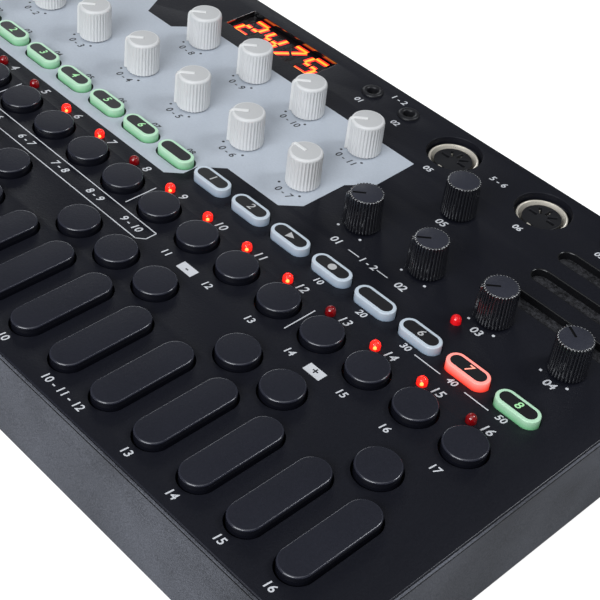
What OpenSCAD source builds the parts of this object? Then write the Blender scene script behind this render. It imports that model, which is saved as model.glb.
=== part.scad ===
// Desktop synthesizer: case, panel, note keys, step keys, soft keys, knobs and top sockets.
// Millimetres, +Z up, feet on Z = 0, the player sits on the -Y side.

/* [Case] */
// outer width of the case at its rim
body_w = 297; // [293:1:303]
// outer depth of the case at its rim
body_d = 176; // [174:1:182]
// height from the case underside to the panel face
case_h = 31.5; // [30.5:0.5:34]
// how far each wall leans in at the bottom
wall_draft = 0.9; // [0.3:0.1:1.5]
// wall thickness at the rim
wall_t = 3; // [2.6:0.1:3.6]
// radius of the upright corners
corner_r = 4; // [3:0.5:7]
// thickness of the case floor
floor_t = 3; // [2.6:0.1:4]
// height of the rubber feet
foot_h = 3.5; // [3:0.5:5]
// radius of each rubber foot
foot_r = 7; // [5:0.5:9]
// height of the groove around the wall, under the rim
groove_h = 0.25; // [0.2:0.05:0.4]

/* [Panel] */
// thickness of the panel plate
panel_t = 2.5; // [2:0.1:3]
// how far the panel edge stays inside the case edge
panel_inset = 1.2; // [0.9:0.1:1.6]
// how far the case rim stays below the panel face
rim_drop = 0.7; // [0.4:0.1:1.2]
// how far the panel's lip, which lies on the rim, stays inside the case edge
lip_inset = 0.6; // [0.4:0.1:0.9]
// radius of a panel screw boss
boss_r = 3.5; // [3:0.1:4]

/* [Keys] */
// distance of the first and last key column from the case edge
column_edge = 20.625; // [20:0.125:22]
// how far the key tops stand above the panel
key_rise = 2.4; // [2:0.1:3.2]
// how far a key goes down
key_travel = 1.5; // [1:0.1:1.6]
// gap around a key in its panel hole
key_gap = 0.35; // [0.3:0.05:0.5]
// half width of a long note key
white_r = 4.8; // [4.4:0.1:5.2]
// half length of the straight part of a long note key
white_half = 10.6; // [9:0.1:11]
// radius of a round note key
black_r = 5.95; // [5.5:0.05:6.2]
// radius of a step key
step_r = 6.05; // [5.6:0.05:6.4]
// half width of a soft key
pill_r = 3.05; // [2.8:0.05:3.2]
// room between two soft keys
pill_space = 3.25; // [3:0.05:4]
// rounding of the key tops
key_edge = 0.7; // [0.4:0.1:1]

/* [Rows] */
// long note keys, behind the case middle, per cent of the case depth
white_row = -36.68; // [-36.9:0.01:-36.5]
// round note keys
black_row = -22.73; // [-22.9:0.01:-22.6]
// step keys
step_row = -10.11; // [-10.3:0.01:-9.9]
// step lamps
lamp_row = -5.28; // [-5.4:0.01:-5.2]
// soft keys
pill_row = 1.48; // [1.3:0.01:1.7]
// front knob row
front_row = 14.32; // [14.1:0.01:14.6]
// back knob row
back_row = 29.83; // [29.6:0.01:30]
// speaker
speaker_row = 28.64; // [28.4:0.01:28.9]
// small jacks, distance from the back edge in mm
jack_back = 9.4; // [9:0.1:10]

/* [Knobs] */
// right end of the front knob row, distance from the case edge
knob_right = 22.1; // [21.5:0.1:23]
// left end of the front knob row, distance from the case edge
knob_left = 18.9; // [18:0.1:20]
// how far a back knob stands to the side of the front knob before it
back_shift = -0.8; // [-1.2:0.1:0]
// knob height
knob_h = 12.5; // [11:0.1:13]
// base radius of a light knob
light_r = 5.75; // [5.3:0.05:6]
// base radius of a dark knob
dark_r = 5.6; // [5.3:0.05:6]
// top radius of a dark knob
dark_top_r = 4.8; // [4.4:0.05:5.1]
// ridges around a knob
knob_ridges = 32; // [24:2:40]
// radius of a pot shaft
shaft_r = 3; // [2.8:0.05:3.1]
// running gap around a shaft
shaft_gap = 0.05; // [0.02:0.01:0.08]

/* [Display] */
// width of the display opening
display_w = 42; // [40:0.5:43]
// depth of the display opening
display_d = 13.5; // [12.5:0.1:14]
// how deep the pane lies under the panel face
display_sink = 1.8; // [1.2:0.1:2.2]

/* [Sockets] */
// radius of a small jack bore
jack_r = 1.8; // [1.76:0.01:1.9]
// radius of a small jack collar
jack_collar_r = 4; // [3.6:0.1:4.4]
// radius of a round socket opening in the panel
din_hole_r = 9; // [8.8:0.1:9.4]
// outer radius of a round socket shield
din_r = 8.1; // [7.9:0.05:8.3]
// radius of the power inlet bore
inlet_r = 2.8; // [2.75:0.05:3]

/* [Speaker] */
// half width of a speaker slot
slot_r = 2.9; // [2.5:0.1:3.1]
// distance between the slots
slot_pitch = 12.6; // [12:0.1:12.9]
// half length of the straight part of a slot
slot_half = 17.5; // [15:0.5:18]
// radius of the speaker frame
speaker_r = 18.5; // [17:0.5:18.5]

/* [Battery bay] */
// inside width of the bay, three cells of two rows
bay_w = 104; // [103:0.5:108]
// inside depth of the bay
bay_d = 48; // [46:0.5:50]
// thickness of the bay door
door_t = 1.9; // [1.6:0.1:2]

/* [Hidden] */
$fn = 48;

// heights
z_case = foot_h;
z_panel = foot_h + case_h;
z_under = z_panel - panel_t;
z_rim = z_panel - rim_drop;
z_floor = z_case + floor_t;
board_t = 1.6;
board_gap = 8.3;
z_board = z_under - board_gap;
z_board0 = z_board - board_t;
mat_t = 1.2;
dome_h = 1.5;
dome_r = 2.6;
z_mat = z_board + mat_t;
z_key = z_panel + key_rise;
flange = 0.8;
flange_gap = 0.3;
z_flange1 = z_under - flange_gap;
flange_t = 1.5;
z_flange0 = z_flange1 - flange_t;
post_r = 2.4;
post_gap = 0.3;
z_post = z_mat + dome_h + key_travel + post_gap;

// outlines
panel_w = body_w - 2 * panel_inset;
panel_d = body_d - 2 * panel_inset;
panel_fit = 0.2;
panel_r = corner_r - panel_inset;
groove_deep = 0.3;
groove_drop = 0.3;
// overlap of solids that are one moulding
weld = 0.5;
in_w = body_w - 2 * wall_t;
in_d = body_d - 2 * wall_t;
board_edge = 1;
board_w = in_w - 2 * board_edge;
board_y0 = board_edge - in_d / 2;
white_y = body_d * white_row / 100;
black_y = body_d * black_row / 100;
step_y = body_d * step_row / 100;
lamp_y = body_d * lamp_row / 100;
pill_y = body_d * pill_row / 100;
front_y = body_d * front_row / 100;
back_y = body_d * back_row / 100;
jack_y = body_d / 2 - jack_back;
mat_edge = 12.5;
mat_front = 5.5;
mat_lap = 5.4;
mat_fit = 0.4;
mat_w = body_w - 2 * mat_edge;
mat_y0 = mat_front - body_d / 2;
mat_y1 = pill_y + mat_lap;

// columns, counted from the left, and the round note keys between them
n_columns = 16;
key_pitch = (body_w - 2 * column_edge) / (n_columns - 1);
pill_half = (key_pitch - pill_space) / 2 - pill_r;
function col_x(i) = (i - (n_columns + 1) / 2) * key_pitch;
BLACK_A = [1, 2, 3, 5, 6];
BLACK_B = [8, 9, 10, 12, 13];
BLACK_C = [15];
BLACK = concat(BLACK_A, BLACK_B, BLACK_C);
lamp_dx = -5.26;
lamp_r = 1.5;
lamp_gap = 0.08;

// knobs, front row counted from the left
n_light = 7;
n_front = 11;
n_back = 4;
knob_pitch = (body_w - knob_left - knob_right) / (n_front - 1);
function front_x(i) = body_w / 2 - knob_right - (n_front - i) * knob_pitch;
function back_x(i) = front_x(n_light - n_back + i) + back_shift;
value_dx = 13;
value_dy = 0.5;
value_at = [front_x(n_light + 1) + value_dx, back_y + value_dy];
tempo_lamp_dx = -5.7;
tempo_lamp_dy = -9.5;
tempo_lamp = [front_x(n_front - 1) + tempo_lamp_dx, front_y + tempo_lamp_dy];
LAMPS = concat([for (i = [1:n_columns]) [col_x(i) + lamp_dx, lamp_y]], [tempo_lamp]);
LIGHT_FRONT = [for (i = [1:n_light]) [front_x(i), front_y]];
LIGHT_BACK = [for (i = [1:n_back]) [back_x(i), back_y]];
DARK = [for (i = [n_light + 1:n_front]) [front_x(i), front_y]];
KNOBS = concat(LIGHT_FRONT, LIGHT_BACK, DARK, [value_at]);
knob_lift = 0.5;
z_knob = z_panel + knob_lift;
z_knob_top = z_knob + knob_h;
shaft_hole_r = shaft_r + 0.6;
point_low = 225;
point_send = 180;
point_volume = 152;
pot_w = 10;
pot_d = 11;
pot_h = 5.5;
bushing_r = 4.4;
bushing_gap = 0.4;
shaft_foot = 1.2;

// sockets
sync_in_right = 146.9;
sync_out_right = 130.4;
line_in_right = 47;
line_out_right = 30.5;
JACKS = [for (right = [sync_in_right, sync_out_right, line_in_right, line_out_right])
  [body_w / 2 - right, jack_y]];
din_back = 13;
din_in_right = 106.9;
din_out_right = 70.5;
DINS = [for (right = [din_in_right, din_out_right]) [body_w / 2 - right, body_d / 2 - din_back]];
socket_fit = 0.05;
jack_w = 9;
board_fit = 0.2;
board_y1 = jack_y - jack_w / 2 - board_fit;
speaker_fit = 1;
jack_neck_r = 3;
jack_lip = 0.7;
jack_depth = 14.5;
jack_floor = 1.2;
z_jack = z_panel + jack_lip;
z_jack0 = z_jack - jack_depth - jack_floor;
din_wall = 0.8;
din_sink = 2;
din_insert_sink = 6.4;
din_pin_r = 0.8;
din_pin_ring = 3.8;
din_pin_depth = 3;
din_box = 19;
din_box_gap = 1;
din_notch_w = 2;
din_notch_h = 3;
z_din = z_panel - din_sink;
z_insert = z_panel - din_insert_sink;
display_right = 187.2;
display_back = 13.5;
display_at = [body_w / 2 - display_right, body_d / 2 - display_back];
display_block_h = 6.4;
display_block_in = 1;
pane_lip_t = 1.2;
lip = 1.6;
pane_gap = 0.25;
z_pane = z_panel - display_sink;
speaker_right = 33.6;
speaker_at = [body_w / 2 - speaker_right, body_d * speaker_row / 100];
cloth_t = 0.3;
z_cloth = z_under - cloth_t;
inlet_left = 44.5;
switch_left = 70.5;
inlet_x = inlet_left - body_w / 2;
switch_x = switch_left - body_w / 2;
rear_dz = 6.8;
z_rear = z_board0 - rear_dz;
y_rear = in_d / 2;
inlet_collar_r = 4;
inlet_len = 10;
switch_w = 16;
switch_h = 8;
switch_len = 8;
slider_w = 4;
slider_h = 3.4;
slider_travel = 4;
slot_gap = 0.4;

// battery bay
bay_wall = 1.6;
bay_roof = 1.2;
bay_top_gap = 0.3;
z_bay = z_board0 - bay_top_gap - bay_roof;
door_lap = 2;
door_fit = 0.3;
cell_r = 7.25;
cell_nub_r = 2.7;
cell_nub = 1;
cell_play = 3;
cell_len = (bay_w - cell_play) / 2 - cell_nub;
contact_t = 0.5;
contact_h = 10;
contact_space = 4;

// screws
screw_side = 8.5;
screw_front = 8;
screw_back = 5.9;
screw_side_row = 2.84;
screw_key_row = -16.48;
screw_x = body_w / 2 - screw_side;
screw_front_y = screw_front - body_d / 2;
screw_back_y = board_y1 - screw_back;
screw_side_y = body_d * screw_side_row / 100;
screw_key_y = body_d * screw_key_row / 100;
SCREWS = concat(
  [for (x = [-screw_x, screw_x], y = [screw_front_y, screw_side_y, screw_back_y]) [x, y]],
  [[col_x(4.5), screw_key_y], [col_x(12.5), screw_key_y]]);
screw_r = 1.5;
screw_head_r = 2.75;
screw_head_h = 2.5;
post_out_r = 4;
head_room_r = 3.1;
screw_hole_r = 1.65;
head_web = 6.6;
z_head = z_board0 - head_web;
boss_bore_r = 1.55;
boss_bore_h = 7;
foot_side = 22.5;
foot_end = 18;
foot_x = body_w / 2 - foot_side;
foot_y = body_d / 2 - foot_end;
FEET = [for (x = [-foot_x, foot_x], y = [-foot_y, foot_y]) [x, y]];
eps = 0.01;

module round_rect(w, d, r) {
  square([w - 2 * r, d], center = true);
  square([w, d - 2 * r], center = true);
  for (sx = [-1, 1], sy = [-1, 1])
    translate([sx * (w / 2 - r), sy * (d / 2 - r)])
      circle(r);
}

module bar_y(half, r) {
  square([2 * r, 2 * half], center = true);
  for (s = [-1, 1])
    translate([0, s * half])
      circle(r);
}

module bar_x(half, r) {
  square([2 * half, 2 * r], center = true);
  for (s = [-1, 1])
    translate([s * half, 0])
      circle(r);
}

// box with leaning walls and cone corners
module draft_box(w, d, h, r, t) {
  rotate([90, 0, 0])
    linear_extrude(d - 2 * r, center = true)
      polygon([[-w / 2 + t, 0], [w / 2 - t, 0], [w / 2, h], [-w / 2, h]]);
  rotate([90, 0, 90])
    linear_extrude(w - 2 * r, center = true)
      polygon([[-d / 2 + t, 0], [d / 2 - t, 0], [d / 2, h], [-d / 2, h]]);
  for (sx = [-1, 1], sy = [-1, 1])
    translate([sx * (w / 2 - r), sy * (d / 2 - r), 0])
      cylinder(h = h, r1 = r - t, r2 = r);
}

// right half of a key section, from the flange to the rounded top
function key_side(r) = [[r + flange, z_flange0], [r + flange, z_flange1], [r, z_flange1],
  [r, z_key - key_edge], [r - 0.13 * key_edge, z_key - 0.5 * key_edge],
  [r - 0.5 * key_edge, z_key - 0.13 * key_edge], [r - key_edge, z_key]];
function flip(p) = [for (i = [len(p) - 1:-1:0]) [-p[i][0], p[i][1]]];

module round_key(r) {
  rotate_extrude()
    polygon(concat([[0, z_post], [post_r, z_post], [post_r, z_flange0]], key_side(r),
      [[0, z_key]]));
}

module bar_key(half, r) {
  for (s = [-1, 1])
    translate([0, s * half, 0])
      rotate_extrude()
        polygon(concat([[0, z_flange0]], key_side(r), [[0, z_key]]));
  rotate([90, 0, 0])
    linear_extrude(2 * half, center = true)
      polygon(concat(key_side(r), flip(key_side(r))));
  translate([0, 0, z_post])
    cylinder(h = z_flange0 - z_post + weld, r = post_r);
}

module white_key(i) {
  color([0.14, 0.14, 0.16])
    translate([col_x(i), white_y, 0])
      bar_key(white_half, white_r);
}

module black_keys(list) {
  color([0.12, 0.12, 0.14])
    for (i = list)
      translate([col_x(i + 0.5), black_y, 0])
        round_key(black_r);
}

module step_keys(first) {
  color([0.13, 0.13, 0.15])
    for (i = [first:first + 3])
      translate([col_x(i), step_y, 0])
        round_key(step_r);
}

module soft_keys(first, last) {
  color([0.75, 0.85, 0.82])
    for (i = [first:last])
      translate([col_x(i), pill_y, 0])
        rotate(90)
          bar_key(pill_half, pill_r);
}

function ridge_ring(r, deep) = [for (i = [0:2 * knob_ridges - 1])
  let (a = i * 180 / knob_ridges, q = (i % 2 == 0) ? r : r - deep) [q * cos(a), q * sin(a)]];

module shaft() {
  color([0.6, 0.6, 0.62])
    translate([0, 0, z_board + shaft_foot])
      cylinder(h = z_knob + 7 - z_board - shaft_foot, r = shaft_r);
}

module light_knob(at, angle) {
  crown = 1.6;
  bar_h = 0.3;
  translate([at[0], at[1], 0]) {
    color([0.88, 0.87, 0.85])
      difference() {
        union() {
          translate([0, 0, z_knob])
            linear_extrude(knob_h - crown - bar_h)
              polygon(ridge_ring(light_r, 0.3));
          translate([0, 0, z_knob_top - crown - bar_h])
            rotate_extrude()
              polygon([[0, 0], [light_r - 0.2, 0], [light_r - 0.35, 0.7 * crown],
                [light_r - 0.8, 0.93 * crown], [light_r - 1.4, crown], [0, crown]]);
          rotate(angle)
            translate([0, -0.45, z_knob_top - crown])
              cube([light_r - 0.4, 0.9, crown]);
        }
        translate([0, 0, z_knob - 1])
          cylinder(h = 8.2, r = shaft_r + shaft_gap);
      }
    shaft();
  }
}

module dark_knob(at, angle, mark) {
  mark_deep = 0.5;
  translate([at[0], at[1], 0]) {
    color([0.1, 0.1, 0.12])
      difference() {
        translate([0, 0, z_knob])
          linear_extrude(knob_h, scale = dark_top_r / dark_r)
            polygon(ridge_ring(dark_r, 0.3));
        translate([0, 0, z_knob - 1])
          cylinder(h = 8.2, r = shaft_r + shaft_gap);
        if (mark)
          rotate(angle)
            translate([0.2, -0.4, z_knob_top - mark_deep])
              cube([dark_r, 0.8, 1]);
      }
    shaft();
  }
}

module panel_holes() {
  for (i = [1:n_columns]) {
    translate([col_x(i), white_y])
      bar_y(white_half, white_r + key_gap);
    translate([col_x(i), step_y])
      circle(step_r + key_gap);
    translate([col_x(i), pill_y])
      bar_x(pill_half, pill_r + key_gap);
  }
  for (i = BLACK)
    translate([col_x(i + 0.5), black_y])
      circle(black_r + key_gap);
  for (p = LAMPS)
    translate(p)
      circle(lamp_r + lamp_gap);
  for (p = KNOBS)
    translate(p)
      circle(shaft_hole_r);
  for (p = JACKS)
    translate(p)
      circle(jack_neck_r + socket_fit);
  for (p = DINS)
    translate(p)
      circle(din_hole_r);
  translate(display_at)
    square([display_w, display_d], center = true);
  for (k = [-1:1])
    translate([speaker_at[0], speaker_at[1] + k * slot_pitch])
      bar_x(slot_half, slot_r);
}

module top_panel() {
  color([0.12, 0.12, 0.14]) {
    translate([0, 0, z_under])
      linear_extrude(panel_t)
        difference() {
          round_rect(panel_w, panel_d, panel_r);
          panel_holes();
        }
    translate([0, 0, z_rim])
      linear_extrude(rim_drop)
        difference() {
          round_rect(body_w - 2 * lip_inset, body_d - 2 * lip_inset, corner_r - lip_inset);
          round_rect(panel_w - 2 * weld, panel_d - 2 * weld, panel_r - weld);
        }
    for (p = SCREWS)
      translate([p[0], p[1], z_board])
        difference() {
          cylinder(h = board_gap + weld, r = boss_r);
          translate([0, 0, -1])
            cylinder(h = boss_bore_h + 1, r = boss_bore_r);
        }
  }
}

module bottom_case() {
  color([0.32, 0.33, 0.35])
    difference() {
      union() {
        difference() {
          translate([0, 0, z_case])
            draft_box(body_w, body_d, z_rim - z_case, corner_r, wall_draft);
          translate([-in_w / 2, -in_d / 2, z_floor])
            cube([in_w, in_d, case_h]);
          translate([0, 0, z_under])
            linear_extrude(panel_t)
              round_rect(panel_w + 2 * panel_fit, panel_d + 2 * panel_fit, panel_r + panel_fit);
        }
        translate([-bay_w / 2 - bay_wall, -bay_d / 2 - bay_wall, z_floor - weld])
          cube([bay_w + 2 * bay_wall, bay_d + 2 * bay_wall, z_bay + bay_roof - z_floor + weld]);
        for (p = SCREWS)
          translate([p[0], p[1], z_floor - weld])
            cylinder(h = z_board0 - z_floor + weld, r = post_out_r);
      }
      translate([-bay_w / 2, -bay_d / 2, z_case - 1])
        cube([bay_w, bay_d, z_bay - z_case + 1]);
      translate([-bay_w / 2 - door_lap, -bay_d / 2 - door_lap, z_case - 1])
        cube([bay_w + 2 * door_lap, bay_d + 2 * door_lap, door_t + 1.1]);
      for (p = SCREWS)
        translate([p[0], p[1], 0]) {
          translate([0, 0, z_case - 1])
            cylinder(h = z_head - z_case + 1, r = head_room_r);
          translate([0, 0, z_case])
            cylinder(h = z_board0 - z_case + 1, r = screw_hole_r);
        }
      translate([0, 0, z_rim - groove_drop - groove_h])
        linear_extrude(groove_h)
          difference() {
            round_rect(body_w + 2, body_d + 2, corner_r + 1);
            round_rect(body_w - 2 * groove_deep, body_d - 2 * groove_deep, corner_r - groove_deep);
          }
      translate([inlet_x, y_rear - 1, z_rear])
        rotate([-90, 0, 0])
          cylinder(h = wall_t + 2, r = inlet_collar_r + socket_fit);
      translate([switch_x - slider_travel / 2 - slider_w / 2 - slot_gap, y_rear - 1,
        z_rear - slider_h / 2 - slot_gap])
        cube([slider_w + slider_travel + 2 * slot_gap, wall_t + 2, slider_h + 2 * slot_gap]);
    }
}

module control_board() {
  color([0.1, 0.35, 0.2])
    translate([0, 0, z_board0])
      linear_extrude(board_t)
        difference() {
          translate([-board_w / 2, board_y0])
            square([board_w, board_y1 - board_y0]);
          for (p = SCREWS)
            translate(p)
              circle(screw_hole_r);
          translate(speaker_at)
            circle(speaker_r + speaker_fit);
        }
}

module key_mat() {
  color([0.25, 0.25, 0.27]) {
    translate([0, 0, z_board])
      linear_extrude(mat_t)
        difference() {
          translate([-mat_w / 2, mat_y0])
            square([mat_w, mat_y1 - mat_y0]);
          for (p = SCREWS)
            translate(p)
              circle(boss_r + mat_fit);
          for (p = LAMPS)
            translate(p)
              circle(lamp_r);
        }
    for (i = [1:n_columns], y = [white_y, step_y, pill_y])
      translate([col_x(i), y, z_board + weld])
        cylinder(h = mat_t + dome_h - weld, r = dome_r);
    for (i = BLACK)
      translate([col_x(i + 0.5), black_y, z_board + weld])
        cylinder(h = mat_t + dome_h - weld, r = dome_r);
  }
}

module display_module() {
  color([0.15, 0.15, 0.16])
    translate([display_at[0] - display_w / 2 + display_block_in, display_at[1] - display_d / 2, z_board])
      cube([display_w - 2 * display_block_in, display_d, display_block_h]);
}

module display_window() {
  color([0.2, 0.05, 0.04])
    translate([display_at[0], display_at[1], 0]) {
      translate([-display_w / 2 - lip, -display_d / 2 - lip, z_under - pane_lip_t])
        cube([display_w + 2 * lip, display_d + 2 * lip, pane_lip_t]);
      translate([-display_w / 2 + pane_gap, -display_d / 2 + pane_gap, z_under - weld])
        cube([display_w - 2 * pane_gap, display_d - 2 * pane_gap, z_pane - z_under + weld]);
    }
}

module speaker() {
  basket_h = 6;
  magnet_r = 9;
  magnet_h = 7;
  frame_t = 1.5;
  frame_w = 2;
  cone_w = 2.5;
  cap_r = 6;
  cap_h = 2.8;
  dust_h = 3.8;
  cloth_lap = 1.5;
  translate([speaker_at[0], speaker_at[1], 0]) {
    color([0.2, 0.2, 0.22])
      rotate_extrude()
        polygon([[0, z_cloth - basket_h - magnet_h], [magnet_r, z_cloth - basket_h - magnet_h],
          [magnet_r, z_cloth - basket_h], [speaker_r - frame_w, z_cloth - frame_t],
          [speaker_r, z_cloth - frame_t], [speaker_r, z_cloth], [speaker_r - cone_w, z_cloth],
          [cap_r, z_cloth - basket_h + cap_h], [0, z_cloth - basket_h + dust_h]]);
    color([0.08, 0.08, 0.09])
      translate([-slot_half - slot_r - cloth_lap, -slot_pitch - slot_r - cloth_lap, z_cloth])
        cube([2 * (slot_half + slot_r + cloth_lap), 2 * (slot_pitch + slot_r + cloth_lap), cloth_t]);
  }
}

module midi_sockets() {
  for (p = DINS)
    translate([p[0], p[1], 0]) {
      color([0.1, 0.1, 0.11])
        difference() {
          translate([-din_box / 2, -din_box / 2, z_board])
            cube([din_box, din_box, board_gap - din_box_gap]);
          translate([0, 0, z_board - 1])
            cylinder(h = board_gap + 2, r = din_r + socket_fit);
        }
      color([0.8, 0.78, 0.72])
        difference() {
          translate([0, 0, z_board])
            cylinder(h = z_din - z_board, r = din_r);
          translate([0, 0, z_board - 1])
            cylinder(h = z_din - z_board + 2, r = din_r - din_wall);
          translate([-din_notch_w / 2, -din_r - 1, z_din - din_notch_h])
            cube([din_notch_w, 2 * din_wall + 1, din_notch_h + 1]);
        }
      color([0.07, 0.07, 0.08])
        difference() {
          translate([0, 0, z_board])
            cylinder(h = z_insert - z_board, r = din_r - din_wall - socket_fit);
          for (a = [0, 45, 90, 135, 180])
            rotate(a)
              translate([din_pin_ring, 0, z_insert - din_pin_depth])
                cylinder(h = din_pin_depth + 1, r = din_pin_r, $fn = 24);
        }
    }
}

module mini_jacks() {
  color([0.07, 0.07, 0.08])
    for (p = JACKS)
      translate([p[0], p[1], 0])
        difference() {
          union() {
            translate([-jack_w / 2, -jack_w / 2, z_jack0])
              cube([jack_w, jack_w, z_under - z_jack0]);
            translate([0, 0, z_under - weld])
              cylinder(h = panel_t + 2 * weld, r = jack_neck_r);
            translate([0, 0, z_panel])
              rotate_extrude()
                polygon([[0, 0], [jack_collar_r, 0], [jack_collar_r, 0.3],
                  [jack_collar_r - 0.4, jack_lip], [0, jack_lip]]);
          }
          translate([0, 0, z_jack - jack_depth])
            cylinder(h = jack_depth + 1, r = jack_r);
        }
}

module rear_sockets() {
  body = 2 * inlet_collar_r + 2;
  face = 0.8;
  color([0.08, 0.08, 0.09]) {
    difference() {
      union() {
        translate([inlet_x - body / 2, y_rear - inlet_len, z_rear - body / 2])
          cube([body, inlet_len, z_board0 - z_rear + body / 2]);
        translate([inlet_x, y_rear - 1, z_rear])
          rotate([-90, 0, 0])
            cylinder(h = wall_t - face, r = inlet_collar_r);
      }
      translate([inlet_x, y_rear - inlet_len + 1.5, z_rear])
        rotate([-90, 0, 0])
          cylinder(h = inlet_len + wall_t, r = inlet_r);
    }
    difference() {
      translate([switch_x - switch_w / 2, y_rear - switch_len, z_rear - switch_h / 2])
        cube([switch_w, switch_len, switch_h]);
      translate([switch_x - slider_travel / 2 - slider_w / 2 - slot_gap, y_rear - 4,
        z_rear - slider_h / 2 - slot_gap])
        cube([slider_w + slider_travel + 2 * slot_gap, 6, slider_h + 2 * slot_gap]);
    }
  }
  color([0.8, 0.8, 0.8])
    translate([inlet_x, y_rear - inlet_len + 1.5, z_rear])
      rotate([-90, 0, 0])
        cylinder(h = inlet_len - 2.5, r = 1, $fn = 24);
}

module power_slider() {
  reach = 1.6;
  color([0.1, 0.1, 0.11])
    translate([switch_x + slider_travel / 2 - slider_w / 2, y_rear - 3.6, z_rear - slider_h / 2])
      cube([slider_w, 3.6 + reach, slider_h]);
}

module status_leds() {
  collar_r = 1.95;
  z_dome = z_panel + 0.1;
  color([0.75, 0.08, 0.06])
    for (p = LAMPS)
      translate([p[0], p[1], 0]) {
        rotate_extrude($fn = 32)
          polygon(concat([[0, z_under - 1.2], [collar_r, z_under - 1.2], [collar_r, z_under - 0.2],
            [lamp_r, z_under - 0.2], [lamp_r, z_dome]],
            [for (a = [15:15:75]) [lamp_r * cos(a), z_dome + lamp_r * sin(a)]],
            [[0, z_dome + lamp_r]]));
        for (s = [-1, 1])
          translate([0.8 * s, 0, z_board])
            cylinder(h = board_gap - 0.7, r = 0.25, $fn = 16);
      }
}

module potentiometers() {
  color([0.45, 0.47, 0.5])
    for (p = KNOBS)
      translate([p[0], p[1], z_board])
        difference() {
          union() {
            translate([-pot_w / 2, -pot_d / 2, 0])
              cube([pot_w, pot_d, pot_h]);
            cylinder(h = board_gap - bushing_gap, r = bushing_r);
          }
          translate([0, 0, shaft_foot - 0.3])
            cylinder(h = board_gap, r = shaft_r + shaft_gap);
        }
}

module battery_contacts() {
  color([0.75, 0.73, 0.68])
    for (sx = [-1, 1], k = [-1:1])
      translate([sx * (bay_w - contact_t) / 2, k * bay_d / 3, (z_floor + z_bay) / 2])
        cube([contact_t, bay_d / 3 - contact_space, contact_h], center = true);
}

// six round cells, two in line in each of three rows
module battery_cells() {
  color([0.2, 0.3, 0.5])
    for (sx = [-1, 1], k = [-1:1])
      translate([sx * bay_w / 4 - (cell_len + cell_nub) / 2, k * bay_d / 3,
        z_case + door_t + door_fit + cell_r])
        rotate([0, 90, 0])
          rotate_extrude()
            polygon([[0, 0], [cell_r, 0], [cell_r, cell_len], [cell_nub_r, cell_len],
              [cell_nub_r, cell_len + cell_nub], [0, cell_len + cell_nub]]);
}

module rubber_feet() {
  color([0.08, 0.08, 0.08])
    for (p = FEET)
      translate([p[0], p[1], 0])
        rotate_extrude()
          polygon([[0, 0], [foot_r - 1, 0], [foot_r, 1], [foot_r, foot_h], [0, foot_h]]);
}

module case_screws() {
  color([0.55, 0.55, 0.57])
    for (p = SCREWS)
      translate([p[0], p[1], z_head - screw_head_h])
        difference() {
          union() {
            cylinder(h = screw_head_h, r = screw_head_r);
            cylinder(h = screw_head_h + z_board + boss_bore_h - 1 - z_head, r = screw_r);
          }
          for (a = [0, 90])
            rotate(a)
              translate([-1.6, -0.4, -1])
                cube([3.2, 0.8, 2.2]);
        }
}

module battery_door() {
  grip = 10;
  color([0.3, 0.31, 0.33])
    difference() {
      translate([-bay_w / 2 - door_lap + door_fit, -bay_d / 2 - door_lap + door_fit, z_case])
        cube([bay_w + 2 * (door_lap - door_fit), bay_d + 2 * (door_lap - door_fit), door_t]);
      for (k = [-1:1])
        translate([-grip, -bay_d / 2 + 5 + 2.4 * k, z_case - 1])
          cube([2 * grip, 1.2, 1.6]);
    }
}

module white_key_01() { white_key(1); }
module white_key_02() { white_key(2); }
module white_key_03() { white_key(3); }
module white_key_04() { white_key(4); }
module white_key_05() { white_key(5); }
module white_key_06() { white_key(6); }
module white_key_07() { white_key(7); }
module white_key_08() { white_key(8); }
module white_key_09() { white_key(9); }
module white_key_10() { white_key(10); }
module white_key_11() { white_key(11); }
module white_key_12() { white_key(12); }
module white_key_13() { white_key(13); }
module white_key_14() { white_key(14); }
module white_key_15() { white_key(15); }
module white_key_16() { white_key(16); }
module black_keys_a() { black_keys(BLACK_A); }
module black_keys_b() { black_keys(BLACK_B); }
module black_keys_c() { black_keys(BLACK_C); }
module step_keys_a() { step_keys(1); }
module step_keys_b() { step_keys(5); }
module step_keys_c() { step_keys(9); }
module step_keys_d() { step_keys(13); }
module soft_keys_a() { soft_keys(1, 8); }
module soft_keys_b() { soft_keys(9, 12); }
module soft_keys_c() { soft_keys(13, 16); }
module knob_front_01() { light_knob(LIGHT_FRONT[0], point_low); }
module knob_front_02() { light_knob(LIGHT_FRONT[1], point_low); }
module knob_front_03() { light_knob(LIGHT_FRONT[2], point_low); }
module knob_front_04() { light_knob(LIGHT_FRONT[3], point_low); }
module knob_front_05() { light_knob(LIGHT_FRONT[4], point_low); }
module knob_front_06() { light_knob(LIGHT_FRONT[5], point_low); }
module knob_front_07() { light_knob(LIGHT_FRONT[6], point_send); }
module knob_back_01() { light_knob(LIGHT_BACK[0], point_low); }
module knob_back_02() { light_knob(LIGHT_BACK[1], point_low); }
module knob_back_03() { light_knob(LIGHT_BACK[2], point_low); }
module knob_back_04() { light_knob(LIGHT_BACK[3], point_low); }
module knob_effect_a() { dark_knob(DARK[0], point_low, true); }
module knob_effect_b() { dark_knob(DARK[1], point_low, true); }
module knob_tempo() { dark_knob(DARK[2], point_low, true); }
module knob_volume() { dark_knob(DARK[3], point_volume, true); }
module knob_value() { dark_knob(value_at, point_low, false); }

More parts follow.
